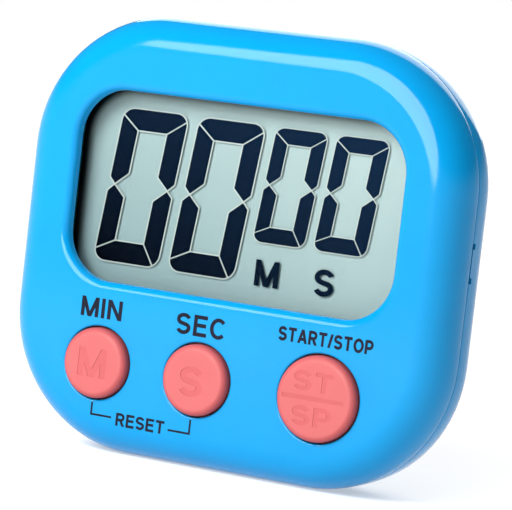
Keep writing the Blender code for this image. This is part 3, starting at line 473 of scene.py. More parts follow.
def add_stroke(bm, sections, place, near, far):
    loops = []
    for a, b in sections:
        corners = ((place(a), near), (place(a), far), (place(b), far), (place(b), near))
        loops.append([bm.verts.new(point(x, z, depth)) for (x, z), depth in corners])
    if sections[0] == sections[-1]:
        for v in loops.pop():
            bm.verts.remove(v)
        loops.append(loops[0])
        skin(bm, loops)
        return
    skin(bm, loops)
    bm.faces.new(loops[0])
    bm.faces.new(loops[-1])


def lettering(name, word, place_mm, near, far, weight, spacing=0.16):
    """Capitals, solid from depth near to depth far. The place is their middle x and z, height and width."""
    x, z, height, width = [value * MM for value in place_mm]
    natural = sum(LETTERS[letter][0] for letter in word) + spacing * (len(word) - 1)
    stretch = width / natural
    first, rest = bmesh.new(), bmesh.new()
    start = 0.0
    for letter in word:
        advance, lines, curves = LETTERS[letter]

        def place(p, start=start):
            return x - width / 2 + (start + p.x) * stretch, z - height / 2 + p.y * height

        for i, stroke in enumerate(lines + curves):
            add_stroke(rest if i else first, stroke_sections(stroke, HALF * weight), place, near, far)
        start += advance + spacing
    piece = make_object(name, first)
    if not rest.verts:
        rest.free()
        return piece
    others = make_object(name + "_strokes", rest)
    return combine(piece, [others], "UNION", use_self=True)


# ---- Front case ----

def key_centre(name):
    low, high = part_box(f"button_{name}")
    return (low.x + high.x) / 2, (low.z + high.z) / 2


def seam_edge():
    """(inset, height) round the edge at the seam, which ends on the seam."""
    angles = [math.radians(angle) for angle in (30, 60, 90)]
    return [(SEAM_EDGE * (1 - math.cos(a)), SEAM_EDGE * (1 - math.sin(a))) for a in angles]


def make_front_shell():
    bm = bmesh.new()
    face_round = quarter(FACE_ROUND_INSET, FACE_ROUND_DEPTH, ROUND_STEPS)
    end = SEAM_DEPTH - SEAM_GAP / 2
    sections = [(FACE_ROUND_INSET + SUPPORT, 0.0)] + face_round
    sections += [(0.0, end - SEAM_EDGE)]
    sections += [(inset, end - up) for inset, up in seam_edge()]
    sections += [(REBATE_INSET, end), (REBATE_INSET, REBATE_DEPTH), (WALL, REBATE_DEPTH)]
    inner = quarter(HOLLOW_FRONT_INSET, HOLLOW_FRONT_DEPTH, 10)
    sections += [(WALL + inset, WALL + depth) for inset, depth in reversed(inner)]
    loops = [ring(bm, case_outline(inset), depth) for inset, depth in sections]
    skin(bm, loops)
    borders = [(loops[0], loops[-1])]
    lip = quarter(LIP_ROUND, LIP_ROUND, LIP_STEPS)
    sections = [(LIP_ROUND + SUPPORT, 0.0)] + lip + [(0.0, WALL)]
    loops = [ring(bm, opening_outline(grow), depth) for grow, depth in sections]
    skin(bm, loops)
    borders.append((loops[0], loops[-1]))
    for name, radius in KEY_HOLES.items():
        edge = quarter(KEY_HOLE_EDGE, KEY_HOLE_EDGE, 5)
        sections = [(KEY_HOLE_EDGE + SUPPORT / 2, 0.0)] + edge + [(0.0, WALL)]
        loops = [ring(bm, circle(*key_centre(name), radius + grow, 96), depth) for grow, depth in sections]
        skin(bm, loops)
        borders.append((loops[0], loops[-1]))
    for border in zip(*borders):
        fill(bm, *border)
    return make_object("front_shell", bm)


# ---- Display ----

# A digit's shape, as shares of the large digit's size
DIGIT_WIDTH, DIGIT_HEIGHT = 10.55 * MM, 22.6 * MM
BAR_SIDE, BAR_LEVEL = 2.95 * MM, 3.2 * MM
DIGIT_ROUND = 1.9 * MM
DIGIT_SLANT = 0.112
SEGMENT_GAP = 0.2 * MM
SEGMENT_RIM = 0.1 * MM
MITRE_ANGLES = {"top_right": 24, "top_left": 154, "bottom_left": 187, "bottom_right": 302}
WAIST_TIP = 1.0 * MM
WAIST_OUTER = 1.0 * MM
WAIST_INNER = 1.75 * MM
FILM = 0.03 * MM


def arc(x, z, radius, start, end, steps=8):
    angles = [math.radians(start + (end - start) * i / steps) for i in range(steps + 1)]
    return [(x + radius * math.cos(a), z + radius * math.sin(a)) for a in angles]


def shrink(outline, amount):
    """A convex anticlockwise outline, moved inwards by amount."""
    count = len(outline)
    lines = []
    for i in range(count):
        a, b = Vector(outline[i]), Vector(outline[(i + 1) % count])
        along = (b - a).normalized()
        inward = Vector((-along.y, along.x))
        lines.append((a + inward * amount, along))
    moved = []
    for i in range(count):
        (a, u), (b, v) = lines[i - 1], lines[i]
        cross = u.x * v.y - u.y * v.x
        if abs(cross) < 1e-6:
            moved.append(tuple(b))
            continue
        t = ((b.x - a.x) * v.y - (b.y - a.y) * v.x) / cross
        moved.append(tuple(a + u * t))
    return moved


def zero_segments():
    """The six lit segments of a zero, upright, in a box from (0, 0) to the digit's size."""
    w, h, r = DIGIT_WIDTH, DIGIT_HEIGHT, DIGIT_ROUND
    side, level = BAR_SIDE, BAR_LEVEL
    m = MITRE_ANGLES
    inner = {
        "top_left": (side, h - level), "top_right": (w - side, h - level),
        "bottom_left": (side, level), "bottom_right": (w - side, level),
    }
    waist = h / 2
    top = (arc(w - r, h - r, r, m["top_right"], 90) + arc(r, h - r, r, 90, m["top_left"])
           + [inner["top_left"], inner["top_right"]])
    bottom = (arc(r, r, r, m["bottom_left"], 270) + arc(w - r, r, r, 270, m["bottom_right"])
              + [inner["bottom_right"], inner["bottom_left"]])
    upper_left = arc(r, h - r, r, m["top_left"], 180) + [
        (0.0, waist + WAIST_OUTER), (WAIST_TIP, waist), (side, waist + WAIST_INNER), inner["top_left"]]
    lower_left = [(0.0, waist - WAIST_OUTER)] + arc(r, r, r, 180, m["bottom_left"]) + [
        inner["bottom_left"], (side, waist - WAIST_INNER), (WAIST_TIP, waist)]
    upper_right = [(w, waist + WAIST_OUTER)] + arc(w - r, h - r, r, 0, m["top_right"]) + [
        inner["top_right"], (w - side, waist + WAIST_INNER), (w - WAIST_TIP, waist)]
    lower_right = arc(w - r, r, r, m["bottom_right"], 360) + [
        (w, waist - WAIST_OUTER), (w - WAIST_TIP, waist), (w - side, waist - WAIST_INNER),
        inner["bottom_right"]]
    return [top, bottom, upper_left, lower_left, upper_right, lower_right]


def make_segments(name, outlines, x, low, high, width, near, far):
    """Slanted segments of a zero whose middle is at x, from z low to z high."""
    bm = bmesh.new()
    middle = (low + high) / 2
    for outline in outlines:
        placed = []
        for u, v in outline:
            z = low + v / DIGIT_HEIGHT * (high - low)
            placed.append((x + (u / DIGIT_WIDTH - 0.5) * width + DIGIT_SLANT * (z - middle), z))
        loops = [ring(bm, placed, near), ring(bm, placed, far)]
        skin(bm, loops)
        bm.faces.new(loops[0])
        bm.faces.new(loops[1])
    return make_object(name, bm)


def make_digit(name, *place):
    outlines = [shrink(outline, SEGMENT_GAP / 2) for outline in zero_segments()]
    return make_segments(name, outlines, *place, DIGIT_DEPTH, DIGIT_DEPTH + FILM)


def make_digit_edge(name, *place):
    """The light rim that shows round the segments."""
    outlines = [shrink(outline, -SEGMENT_RIM) for outline in zero_segments()]
    near, far = DIGIT_DEPTH + FILM + HAIR, DIGIT_DEPTH + 2 * FILM
    level = make_segments(name, outlines[:2], *place, near, far)
    upright = make_segments(name + "_sides", outlines[2:], *place, near, far)
    return combine(level, [upright], "UNION", use_self=True)


def inset_box(node, inset, radius, steps):
    """A CAD node's outline with round corners, inset on all sides."""
    low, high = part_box(node)
    return rounded_rectangle(low.x + inset, high.x - inset, low.z + inset, high.z - inset, radius - inset,
                             steps=steps)


def make_panel():
    """The liquid crystal cell with the reflector behind it."""
    edge = 0.05 * MM
    inner, outer = [inset_box("lcd_front_glass", inset, 0.3 * MM, 3) for inset in (edge, 0.0)]
    far = depths("lcd_reflector")[1]
    return loft("lcd_panel", [(inner, PANEL_DEPTH), (outer, PANEL_DEPTH + edge), (outer, far)])


def make_cover():
    near, far = depths("display_window")
    edge = 0.1 * MM
    inner, outer = [inset_box("display_window", inset, 3 * MM, 8) for inset in (edge, 0.0)]
    return loft("display_cover", [(inner, near), (outer, near + edge), (outer, far - edge), (inner, far)])


BRACKET_LINE = 0.29 * MM
PRINT_DEPTH = 0.02 * MM


def make_bracket(name, corner_x, corner_z, top, end_x):
    """A printed corner line from a key down to the level of the word RESET."""
    half = BRACKET_LINE / 2
    inner = half if end_x > corner_x else -half
    outline = [(corner_x - inner, top), (corner_x - inner, corner_z - half), (end_x, corner_z - half),
               (end_x, corner_z + half), (corner_x + inner, corner_z + half), (corner_x + inner, top)]
    return loft(name, [(outline, -PRINT_DEPTH), (outline, PRINT_DEPTH)])


# ---- Keys ----

KEY_ROUND = 0.95 * MM
KEY_PROUD = -depths("button_min")[0]
KEY_GAP = 0.25 * MM
FLANGE_DEPTH = 2.1 * MM
FLANGE_THICKNESS = 0.8 * MM
FLANGE_EDGE = 0.1 * MM
STEM_INSET = 3.0 * MM
MARK_DEEP = 0.06 * MM
MARK_DEPTH = -KEY_PROUD + MARK_DEEP


def make_key(name, marks):
    x, z = key_centre(name)
    radius = KEY_HOLES[name] - KEY_GAP
    low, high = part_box(f"button_{name}")
    flange_radius = (high.x - low.x) / 2
    flange, flange_end = FLANGE_DEPTH, FLANGE_DEPTH + FLANGE_THICKNESS
    profile = [(radius - KEY_ROUND - SUPPORT, -KEY_PROUD)]
    profile += near_edge(radius, KEY_ROUND, -KEY_PROUD, 10)
    profile += [(radius, flange), (flange_radius - FLANGE_EDGE, flange),
                (flange_radius, flange + FLANGE_EDGE),
                (flange_radius, flange_end - FLANGE_EDGE), (flange_radius - FLANGE_EDGE, flange_end),
                (radius - STEM_INSET, flange_end), (radius - STEM_INSET, high.y - FACE_Y)]
    key = turned(f"key_{name}", x, z, profile, 96)
    return cut(key, *marks)


DOME_WALL = 0.6 * MM
DOME_SLOPE = 1.9 * MM
DOME_CROWN = 2.3 * MM
DOME_FOOT = 0.5 * MM
DOME_HOLE = 0.2 * MM
DOME_EDGE = 0.1 * MM


def make_dome(name):
    """The rubber dome behind a key, in its resting shape. The real one flattens towards the board as the key
    goes in.
    """
    x, z = key_centre(name)
    low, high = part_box(f"key_dome_{name}")
    near, far = depths(f"key_dome_{name}")
    base = (high.x - low.x) / 2
    crown, foot = base - DOME_SLOPE, base - DOME_WALL
    outside = [(DOME_HOLE, near), (crown - DOME_EDGE, near), (crown, near + DOME_EDGE),
               (base, far - DOME_FOOT),
               (base, far)]
    inside = [(foot, far), (foot, far - DOME_FOOT + 2 * DOME_EDGE), (base - DOME_CROWN, near + DOME_WALL),
              (DOME_HOLE, near + DOME_WALL)]
    dome = closed_loft(f"dome_{name}", [(circle(x, z, radius), depth) for radius, depth in outside + inside])
    finish(dome, "case", "rubber", f"key_dome_{name}")
    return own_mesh(dome)


# ---- Back case ----

def foot_inset_at(depth, start, inset):
    if depth <= start:
        return 0.0
    return inset * (1 - math.sqrt(max(0.0, 1 - ((depth - start) / inset) ** 2)))


def back_rounding(wall, inset, foot_start, foot_inset, steps):
    """Sections of the back's round edge, one wall inside the case's outline."""
    reach = CASE_DEPTH - wall - BACK_ROUND_START
    rings = []
    for i in range(steps + 1):
        a = math.pi / 2 * i / steps
        depth = BACK_ROUND_START + reach * math.sin(a)
        foot = foot_inset_at(depth, foot_start, foot_inset)
        rings.append((case_outline(wall + inset * (1 - math.cos(a)), wall + foot), depth))
    return rings


def back_body():
    start = SEAM_DEPTH + SEAM_GAP / 2
    rings = [(case_outline(inset), start + down) for inset, down in reversed(seam_edge())]
    rings.append((case_outline(0.0), start + SEAM_EDGE))
    rings += back_rounding(0.0, BACK_ROUND_INSET, FOOT_ROUND_START, FOOT_ROUND_INSET, ROUND_STEPS)
    rings.append((case_outline(BACK_ROUND_INSET + SUPPORT, FOOT_ROUND_INSET + SUPPORT), CASE_DEPTH))
    return loft("back_shell", rings)


def back_hollow():
    foot_start = FOOT_ROUND_START - HOLLOW_OVERRUN
    rings = back_rounding(WALL, HOLLOW_BACK_INSET, foot_start, HOLLOW_FOOT_INSET, HOLLOW_STEPS)
    return loft("back_hollow", [(case_outline(WALL), SEAM_DEPTH - HOLLOW_OVERRUN)] + rings)


def lipped(floor, lip, outside=CASE_DEPTH, lip_steps=6):
    """(growth, depth) of a cutter that goes in to depth floor and rounds the hole's edge by lip."""
    edge = far_edge(0.0, lip, outside, lip_steps)[:-1]
    return ([(0.0, floor)] + [(-grow, depth) for grow, depth in edge]
            + [(lip, outside + 0.004 * MM), (lip, outside + OVERLAP)])


def round_cut(name, x, z, radius, floor, lip, steps=64):
    return turned(name, x, z, [(radius + grow, depth) for grow, depth in lipped(floor, lip)], steps)


def panel_cut(name, left, right, low, high, radius, floor, lip, steps=6, **mouth):
    """A cutter for a pocket with rounded corners, open to the back."""
    rings = []
    for grow, depth in lipped(floor, lip, **mouth):
        outline = rounded_rectangle(left - grow, right + grow, low - grow, high + grow, radius + grow,
                                    steps=steps)
        rings.append((outline, depth))
    return loft(name, rings)


def door_sector(name, inner, outer, middle, half_angle, near, far, steps=10):
    """A piece of a ring about the door's axis, centred on an angle in degrees."""
    angles = [math.radians(middle - half_angle + 2 * half_angle * i / steps) for i in range(steps + 1)]
    outline = [(CELL_X + outer * math.cos(a), CELL_Z + outer * math.sin(a)) for a in angles]
    outline += [(CELL_X + inner * math.cos(a), CELL_Z + inner * math.sin(a)) for a in reversed(angles)]
    return loft(name, [(outline, near), (outline, far)])


def post(name, x, z, radius, near, steps=64):
    """A round post from depth near into the back wall."""
    return turned(name, x, z, [(radius, near), (radius, CASE_DEPTH - WALL + OVERLAP)], steps)


def back_solids():
    """The tongue, bosses and pocket walls inside the back case."""
    wall = CASE_DEPTH - WALL + OVERLAP
    tongue_end = BACK_ROUND_START - OVERLAP
    outer, inner = [case_outline(inset, steps=17)
                    for inset in (TONGUE_INSET, TONGUE_INSET + TONGUE_THICKNESS)]
    solids = [closed_loft("tongue", [(outer, TONGUE_START), (outer, tongue_end), (inner, tongue_end),
                                     (inner, TONGUE_START)])]
    solids += [post(f"boss_{i}", x, z, BOSS_RADIUS, BOSS_START, 32) for i, (x, z) in enumerate(CASE_SCREWS)]
    half = KEYHOLE_RADIUS + KEYHOLE_ROOM + KEYHOLE_SKIN
    solids.append(block("keyhole_box", -half, half, KEYHOLE_Z - half,
                        KEYHOLE_TOP + KEYHOLE_RADIUS + KEYHOLE_SKIN, KEYHOLE_NEAR - KEYHOLE_SKIN, wall))
    solids += [post(f"magnet_wall_{side}", x, z, MAGNET_POCKET_RADIUS + POCKET_SKIN,
                    MAGNET_FLOOR - POCKET_SKIN)
               for side, (x, z) in MAGNETS.items()]
    groove_wall, shelf = DOOR_GROOVE_RADIUS + GROOVE_WALL, DOOR_GROOVE_DEPTH - GROOVE_SHELF
    side = POCKET_HALF_WIDTH + POCKET_WALL
    return solids + [
        post("cell_wall", CELL_X, CELL_Z, WELL_RADIUS + POCKET_SKIN, WELL_DEPTH),
        post("door_wall", CELL_X, CELL_Z, groove_wall, shelf),
        block("stand_wall", -side, side, POCKET_LOW - POCKET_END_WALL, POCKET_HIGH + POCKET_END_WALL,
              POCKET_DEPTH - POCKET_FLOOR, wall),
    ]


def back_cutters():
    """Everything that is cut from the back case, in the order of the cuts."""
    past, wall = CASE_DEPTH + OVERLAP, CASE_DEPTH - WALL
    screw_hole = [(SCREW_HOLE_RADIUS, BOSS_START - OVERLAP), (SCREW_HOLE_RADIUS, SCREW_SEAT_DEPTH),
                  (SCREW_WELL_RADIUS, SCREW_SEAT_DEPTH + HAIR), (SCREW_WELL_RADIUS, past)]
    cutters = [turned(f"screw_hole_{i}", x, z, screw_hole, 48) for i, (x, z) in enumerate(CASE_SCREWS)]
    room, half = KEYHOLE_RADIUS + KEYHOLE_ROOM, KEYHOLE_SLOT / 2
    cutters += [
        block("keyhole_room", -room, room, KEYHOLE_Z - room, KEYHOLE_TOP + KEYHOLE_RADIUS, KEYHOLE_NEAR,
              wall + 0.2 * MM),
        round_cut("keyhole_mouth", 0.0, KEYHOLE_Z, KEYHOLE_RADIUS, wall, HOLE_LIP),
        panel_cut("keyhole_slot", -half, half, KEYHOLE_Z, KEYHOLE_TOP + half, half - HAIR, wall,
                  HOLE_LIP, 12),
    ]
    cutters += [round_cut(f"magnet_pocket_{side}", x, z, MAGNET_POCKET_RADIUS, MAGNET_FLOOR, MAGNET_LIP, 96)
                for side, (x, z) in MAGNETS.items()]
    groove = [(DOOR_GROOVE_RADIUS, DOOR_GROOVE_DEPTH), (DOOR_GROOVE_RADIUS, DOOR_LIP_DEPTH)]
    cutters += [
        turned("cell_well", CELL_X, CELL_Z, [(WELL_RADIUS, WELL_DEPTH - OVERLAP), (WELL_RADIUS, past)]),
        turned("door_groove", CELL_X, CELL_Z, groove, 96),
        round_cut("door_hole", CELL_X, CELL_Z, DOOR_HOLE_RADIUS, DOOR_GROOVE_DEPTH + OVERLAP, HOLE_LIP, 96),
        block("contact_slot", CELL_X - CONTACT_SLOT_HALF, CELL_X + CONTACT_SLOT_HALF, CELL_Z + 4.8 * MM,
              CELL_Z + WELL_RADIUS + 3 * MM, WELL_DEPTH - OVERLAP, DOOR_GROOVE_DEPTH - 0.4 * MM),
    ]
    cutters += [door_sector(f"door_notch_{angle}", DOOR_HOLE_RADIUS - 1 * MM, DOOR_GROOVE_RADIUS,
                            angle - DOOR_TURN, NOTCH_HALF_ANGLE, DOOR_LIP_DEPTH - OVERLAP, past)
                for angle in LUG_ANGLES]
    reach = STAND_HALF_WIDTH + TRUNNION_LENGTH + 0.3 * MM
    ends = [point(x, HINGE_Z, HINGE_DEPTH) for x in (-reach, reach)]
    cutters += [
        panel_cut("stand_pocket", -POCKET_HALF_WIDTH, POCKET_HALF_WIDTH, POCKET_LOW, POCKET_HIGH, 0.6 * MM,
                  POCKET_DEPTH, HOLE_LIP),
        rod("stand_sockets", *ends, TRUNNION_RADIUS + 0.17 * MM, 40),
        panel_cut("finger_scoop", -SCOOP_HALF, SCOOP_HALF, POCKET_LOW - 1.5 * MM, POCKET_LOW + 2 * MM,
                  1.2 * MM, CASE_DEPTH - SCOOP_DEEP, SCOOP_LIP),
    ]
    holes = [(PIEZO_X, PIEZO_Z)] + circle(PIEZO_X, PIEZO_Z, SOUND_HOLE_RING, 6)
    cutters += [round_cut(f"sound_hole_{i}", x, z, SOUND_HOLE_RADIUS, wall - OVERLAP, SOUND_LIP, 32)
                for i, (x, z) in enumerate(holes)]
    notches = [(*NOTCH_Z, NOTCH_DEEP, 0.25 * MM)]
    notches += [(z - NOTCH_END_HALF, z + NOTCH_END_HALF, NOTCH_END_DEEP, NOTCH_END_DEEP) for z in NOTCH_Z]
    cutters += [block(f"pry_notch_{i}", CASE_HALF - deep, CASE_HALF + 1 * MM, low, high, SEAM_DEPTH - 1 * MM,
                      SEAM_DEPTH + reach) for i, (low, high, deep, reach) in enumerate(notches)]
    return cutters


def make_back_shell():
    shell = cut(back_body(), back_hollow())
    join(shell, *back_solids())
    return cut(shell, *back_cutters())


# ---- Pieces on the back ----

def make_battery_door():
    """The round door with two bayonet lugs and a coin slot."""
    near, outside = depths("battery_door")
    profile = [(DOOR_RADIUS - 0.2 * MM, near), (DOOR_RADIUS, near + 0.2 * MM)]
    profile += far_edge(DOOR_RADIUS, DOOR_EDGE, outside, 8) + [(DOOR_RADIUS - DOOR_EDGE - SUPPORT, outside)]
    door = turned("battery_door_cap", CELL_X, CELL_Z, profile, 96)
    join(door, *[door_sector(f"door_lug_{angle}", DOOR_RADIUS - LUG_ROOT, DOOR_GROOVE_RADIUS - 0.3 * MM,
                             angle, LUG_HALF_ANGLE, near, DOOR_LIP_DEPTH - 0.25 * MM) for angle in LUG_ANGLES])
    room = WELL_RADIUS + 0.3 * MM
    inside = turned("door_inside", CELL_X, CELL_Z, [(room, near - OVERLAP), (room, DOOR_LIP_DEPTH)])
    slot = panel_cut("coin_slot", CELL_X - COIN_SLOT_HALF, CELL_X + COIN_SLOT_HALF, CELL_Z - COIN_SLOT_RISE,
                     CELL_Z + COIN_SLOT_RISE, COIN_SLOT_RISE * 0.98, outside - COIN_SLOT_DEEP, 0.2 * MM, 10,
                     outside=outside, lip_steps=5)
    return cut(door, inside, slot)


def make_stand():
    """The fold-out stand: a leaf with a sunk panel, a round hinge edge and a trunnion at each side."""
    half, rise = STAND_HALF_WIDTH, STAND_THICKNESS / 2
    near, far = HINGE_DEPTH - rise, HINGE_DEPTH + rise
    edge = quarter(STAND_EDGE, STAND_EDGE, 5)
    sections = [(STAND_EDGE + SUPPORT, near)] + [(inset, near + down) for inset, down in edge]
    sections += [(inset, far - down) for inset, down in reversed(edge)] + [(STAND_EDGE + SUPPORT, far)]
    rings = []
    for inset, depth in sections:
        outline = rounded_rectangle(-half + inset, half - inset, STAND_TIP_Z + inset,
                                    HINGE_Z + 0.1 * MM - inset, 0.2 * MM, 3 * MM - inset, 12)
        rings.append((outline, depth))
    stand = loft("stand_leaf", rings)
    rods = (("stand_edge", half - 0.04 * MM, rise - HAIR, 50),
            ("stand_trunnions", half + TRUNNION_LENGTH, TRUNNION_RADIUS - 0.02 * MM, 40))
    for name, reach, radius, steps in rods:
        join(stand, rod(name, *[point(x, HINGE_Z, HINGE_DEPTH) for x in (-reach, reach)], radius, steps))
    inner = half - STAND_RAIL
    return cut(stand, panel_cut("stand_panel", -inner, inner, STAND_TIP_Z + 6 * MM, HINGE_Z - 4 * MM,
                                1.5 * MM, far - PANEL_DEEP, HOLE_LIP, 8, outside=far, lip_steps=5))


def make_magnet(side):
    low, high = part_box(f"magnet_{side}")
    near, far = depths(f"magnet_{side}")
    radius, edge = (high.x - low.x) / 2, 0.3 * MM
    middle = radius - edge - SUPPORT
    profile = [(middle, near)] + near_edge(radius, edge, near, 6) + far_edge(radius, edge, far, 6)
    return turned(f"magnet_disc_{side}", *MAGNETS[side], profile + [(middle, far)], 96)


def make_case_screw(number):
    """A pan-head self-tapping screw with a cross recess and a coarse thread."""
    low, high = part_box(f"case_screw_{number}")
    x, z = (low.x + high.x) / 2, (low.z + high.z) / 2
    tip, top = depths(f"case_screw_{number}")
    head = (high.x - low.x) / 2
    seat = top - HEAD_HEIGHT
    root = SHANK_RADIUS * 0.75
    profile = [(SHANK_RADIUS * 0.3, tip), (root, tip + 0.9 * MM)]
    depth = tip + 1.1 * MM
    while depth < seat - 0.6 * MM:
        profile += [(root, depth), (SHANK_RADIUS, depth + 0.2 * MM), (root, depth + 0.4 * MM)]
        depth += THREAD_PITCH
    rim = 0.06 * MM
    profile += [(SHANK_RADIUS, seat - 0.2 * MM), (SHANK_RADIUS, seat), (head - 0.05 * MM, seat + HAIR),
                (head, seat + rim)]
    profile += [(head * math.cos(a) ** 0.6, seat + rim + (HEAD_HEIGHT - rim) * math.sin(a))
                for a in (math.radians(angle) for angle in range(9, 82, 9))]
    made = turned(f"screw_{number}", x, z, profile, 48)
    cutters = []
    arm, half = head * 0.55, head * 0.13
    for i, (reach_x, reach_z) in enumerate(((arm, half), (half, arm))):
        floor, mouth = [[(x + u * share * reach_x, z + v * share * reach_z)
                         for u, v in ((1, 1), (-1, 1), (-1, -1), (1, -1))] for share in (0.6, 1.0)]
        cutters.append(loft(f"recess_{i}", [(floor, seat + 0.45 * MM), (mouth, top + 0.1 * MM)]))
    return cut(made, *cutters)


# ---- Materials ----

class Material:
    """A node material, with short ways to add nodes to it."""

    def __init__(self, name):
        self.made = bpy.data.materials.new(name)
        self.made.use_nodes = True
        self.nodes = self.made.node_tree.nodes
        self.links = self.made.node_tree.links
        self.shader = self.nodes["Principled BSDF"]
        self.place = self.nodes.new("ShaderNodeTexCoord").outputs["Object"]

    def feed(self, node, inputs):
        """Sets each of a node's inputs to a value, or links it to another node's output."""
        for name, value in inputs.items():
            if isinstance(value, bpy.types.NodeSocket):
                self.links.new(value, node.inputs[name])
            else:
                node.inputs[name].default_value = value

    def add(self, kind, inputs, **settings):
        node = self.nodes.new("ShaderNode" + kind)
        for name, value in settings.items():
            setattr(node, name, value)
        self.feed(node, inputs)
        return node

    def noise(self, scale, detail=3.0):
        return self.add("TexNoise", {"Vector": self.place, "Scale": scale, "Detail": detail}).outputs["Fac"]

    def axis(self, name):
        return self.add("SeparateXYZ", {"Vector": self.place}).outputs[name]

    def maths(self, operation, a, b=0.0):
        return self.add("Math", {0: a, 1: b}, operation=operation).outputs["Value"]

    def ramp(self, source, low, high, start=0.35, end=0.65):
        node = self.add("ValToRGB", {"Fac": source})
        for element, position, colour in zip(node.color_ramp.elements, (start, end), (low, high)):
            element.position = position
            element.color = (*colour, 1.0)
        return node.outputs["Color"]

    def spread(self, source, low, high, start=0.3, end=0.7, **settings):
        """A value from low to high as source goes from start to end."""
        inputs = {"Value": source, "From Min": start, "From Max": end, "To Min": low, "To Max": high}
        return self.add("MapRange", inputs, **settings).outputs["Result"]

    def multiply(self, a, b):
        node = self.add("Mix", {}, data_type="RGBA", blend_type="MULTIPLY")
        self.feed(node, {"Factor": 1.0, "A": a, "B": b})
        return node.outputs["Result"]

    def surface(self, colour, gloss, low, high, grain, grain_depth):
        """The colour, a roughness from low to high that follows gloss, and a bump that follows grain."""
        bump = self.add("Bump", {"Strength": 1.0, "Distance": grain_depth, "Height": grain})
        roughness = self.spread(gloss, low, high)
        normal = bump.outputs["Normal"]
        self.feed(self.shader, {"Base Color": colour, "Roughness": roughness, "Normal": normal})


def moulded(name, colour, variation, roughness, grain, grain_depth, metallic=0.0, specular=0.5, recess=None):
    """Plastic, rubber or metal with slight mottling, uneven gloss and a fine surface grain.

    recess holds two depths and a tint, a painted shade: the colour takes on the tint from the first depth to
    the second and keeps it further back, so recesses and sides behind the front come out darker.
    """
    made = Material(name)
    low, high = [tuple(min(1.0, c * share) for c in colour) for share in (1 - variation, 1 + variation)]
    tone = made.ramp(made.noise(180.0), low, high)
    # Painted shade, by depth behind the face plane.
    if recess:
        start, end, tint = recess
        share = made.spread(made.axis("Y"), 0.0, 1.0, FACE_Y + start, FACE_Y + end)
        tone = made.multiply(tone, made.ramp(share, (1.0, 1.0, 1.0), tint, 0.0, 1.0))
    made.surface(tone, made.noise(420.0, 4.0), roughness * 0.85, roughness * 1.15, made.noise(grain, 2.0),
                 grain_depth)
    made.feed(made.shader, {"Metallic": metallic, "Specular IOR Level": specular})
    return made.made


def clear_cover():
    """Clear acrylic: it lets everything behind it through, and mirrors a little."""
    made = Material("clear_acrylic")
    made.nodes.remove(made.shader)
    see = made.add("BsdfTransparent", {}).outputs["BSDF"]
    shine = made.add("BsdfGlossy", {"Roughness": 0.03}).outputs["BSDF"]
    share = made.add("Fresnel", {"IOR": 1.07}).outputs["Fac"]
    mix = made.add("MixShader", {0: share, 1: see, 2: shine})
    made.feed(made.nodes["Material Output"], {"Surface": mix.outputs["Shader"]})
    return made.made


def striped(name, dark, light, scale, roughness):
    """Thin bands across X, such as the conducting layers of a zebra strip."""
    made = Material(name)
    bands = made.add("TexWave", {"Vector": made.place, "Scale": scale, "Distortion": 0.0}, wave_type="BANDS",
                     bands_direction="X")
    texture = made.noise(2500.0)
    tone = made.ramp(bands.outputs["Fac"], dark, light, 0.45, 0.55)
    made.surface(tone, texture, roughness * 0.9, roughness * 1.1, texture, 0.00001)
    return made.made


def solder_mask(name):
    """A green board: darker paths of copper under the lacquer, and a fine glass weave."""
    made = Material(name)
    paths = made.add("TexVoronoi", {}, distance="CHEBYCHEV", feature="DISTANCE_TO_EDGE")
    made.feed(paths, {"Vector": made.place, "Scale": 350.0})
    tone = made.ramp(paths.outputs["Distance"], (0.02, 0.16, 0.06), (0.01, 0.09, 0.035), 0.08, 0.12)
    weave = made.noise(3000.0)
    made.surface(tone, weave, 0.28, 0.42, weave, 0.000008)
    return made.made


# Where the painted shadow of the window's left and top walls begins on the display: the middle and the radius
# of its round upper left corner
CLEAR_X = -19.0 * MM
CLEAR_Z = 45.6 * MM
CLEAR_RADIUS = 6.2 * MM


def across_display(name, low_left, high_right, specular, painted_wall_shadow=False):
    """The display's colour with painted light: darker at its lower left and lighter towards its upper right,
    with a painted shadow of the window's walls at the left and top if asked.
    """
    made = Material(name)
    x, z = made.axis("X"), made.axis("Z")
    grain = made.noise(2500.0)
    # Painted light: the colour runs from low_left to high_right across the display, as the light and
    # reflection on it do.
    slope = made.maths("ADD", made.maths("MULTIPLY", x, 0.6), z)
    slope = made.maths("ADD", slope, made.maths("MULTIPLY", grain, 3 * MM))
    tone = made.ramp(made.maths("MULTIPLY", slope, 10.0), low_left, high_right, 0.15, 0.65)
    if painted_wall_shadow:
        # Painted shadow of the window's left and top walls: the colour falls almost to black within 1.5 mm
        # past the round corner about CLEAR_X and CLEAR_Z.
        across = made.maths("MAXIMUM", made.maths("SUBTRACT", CLEAR_X, x), 0.0)
        up = made.maths("MAXIMUM", made.maths("SUBTRACT", z, CLEAR_Z), 0.0)
        squares = [made.maths("MULTIPLY", side, side) for side in (across, up)]
        away = made.maths("SQRT", made.maths("ADD", *squares))
        shade = made.spread(away, 1.0, 0.01, CLEAR_RADIUS, CLEAR_RADIUS + 1.5 * MM,
                            interpolation_type="SMOOTHSTEP")
        tone = made.multiply(tone, shade)
    made.surface(tone, made.noise(900.0), 0.3, 0.42, grain, 0.000003)
    made.feed(made.shader, {"Specular IOR Level": specular})
    return made.made


# Painted light on the segments and their light rims: darker at the lower left and lighter towards the upper
# right, where the segments also take a painted navy reflection.
LCD_INK = across_display("lcd_segment", (0.0002, 0.0005, 0.0014), (0.003, 0.011, 0.028), 0.0)
LCD_EDGE = across_display("lcd_segment_edge", (0.26, 0.31, 0.29), (0.34, 0.40, 0.38), 0.0)

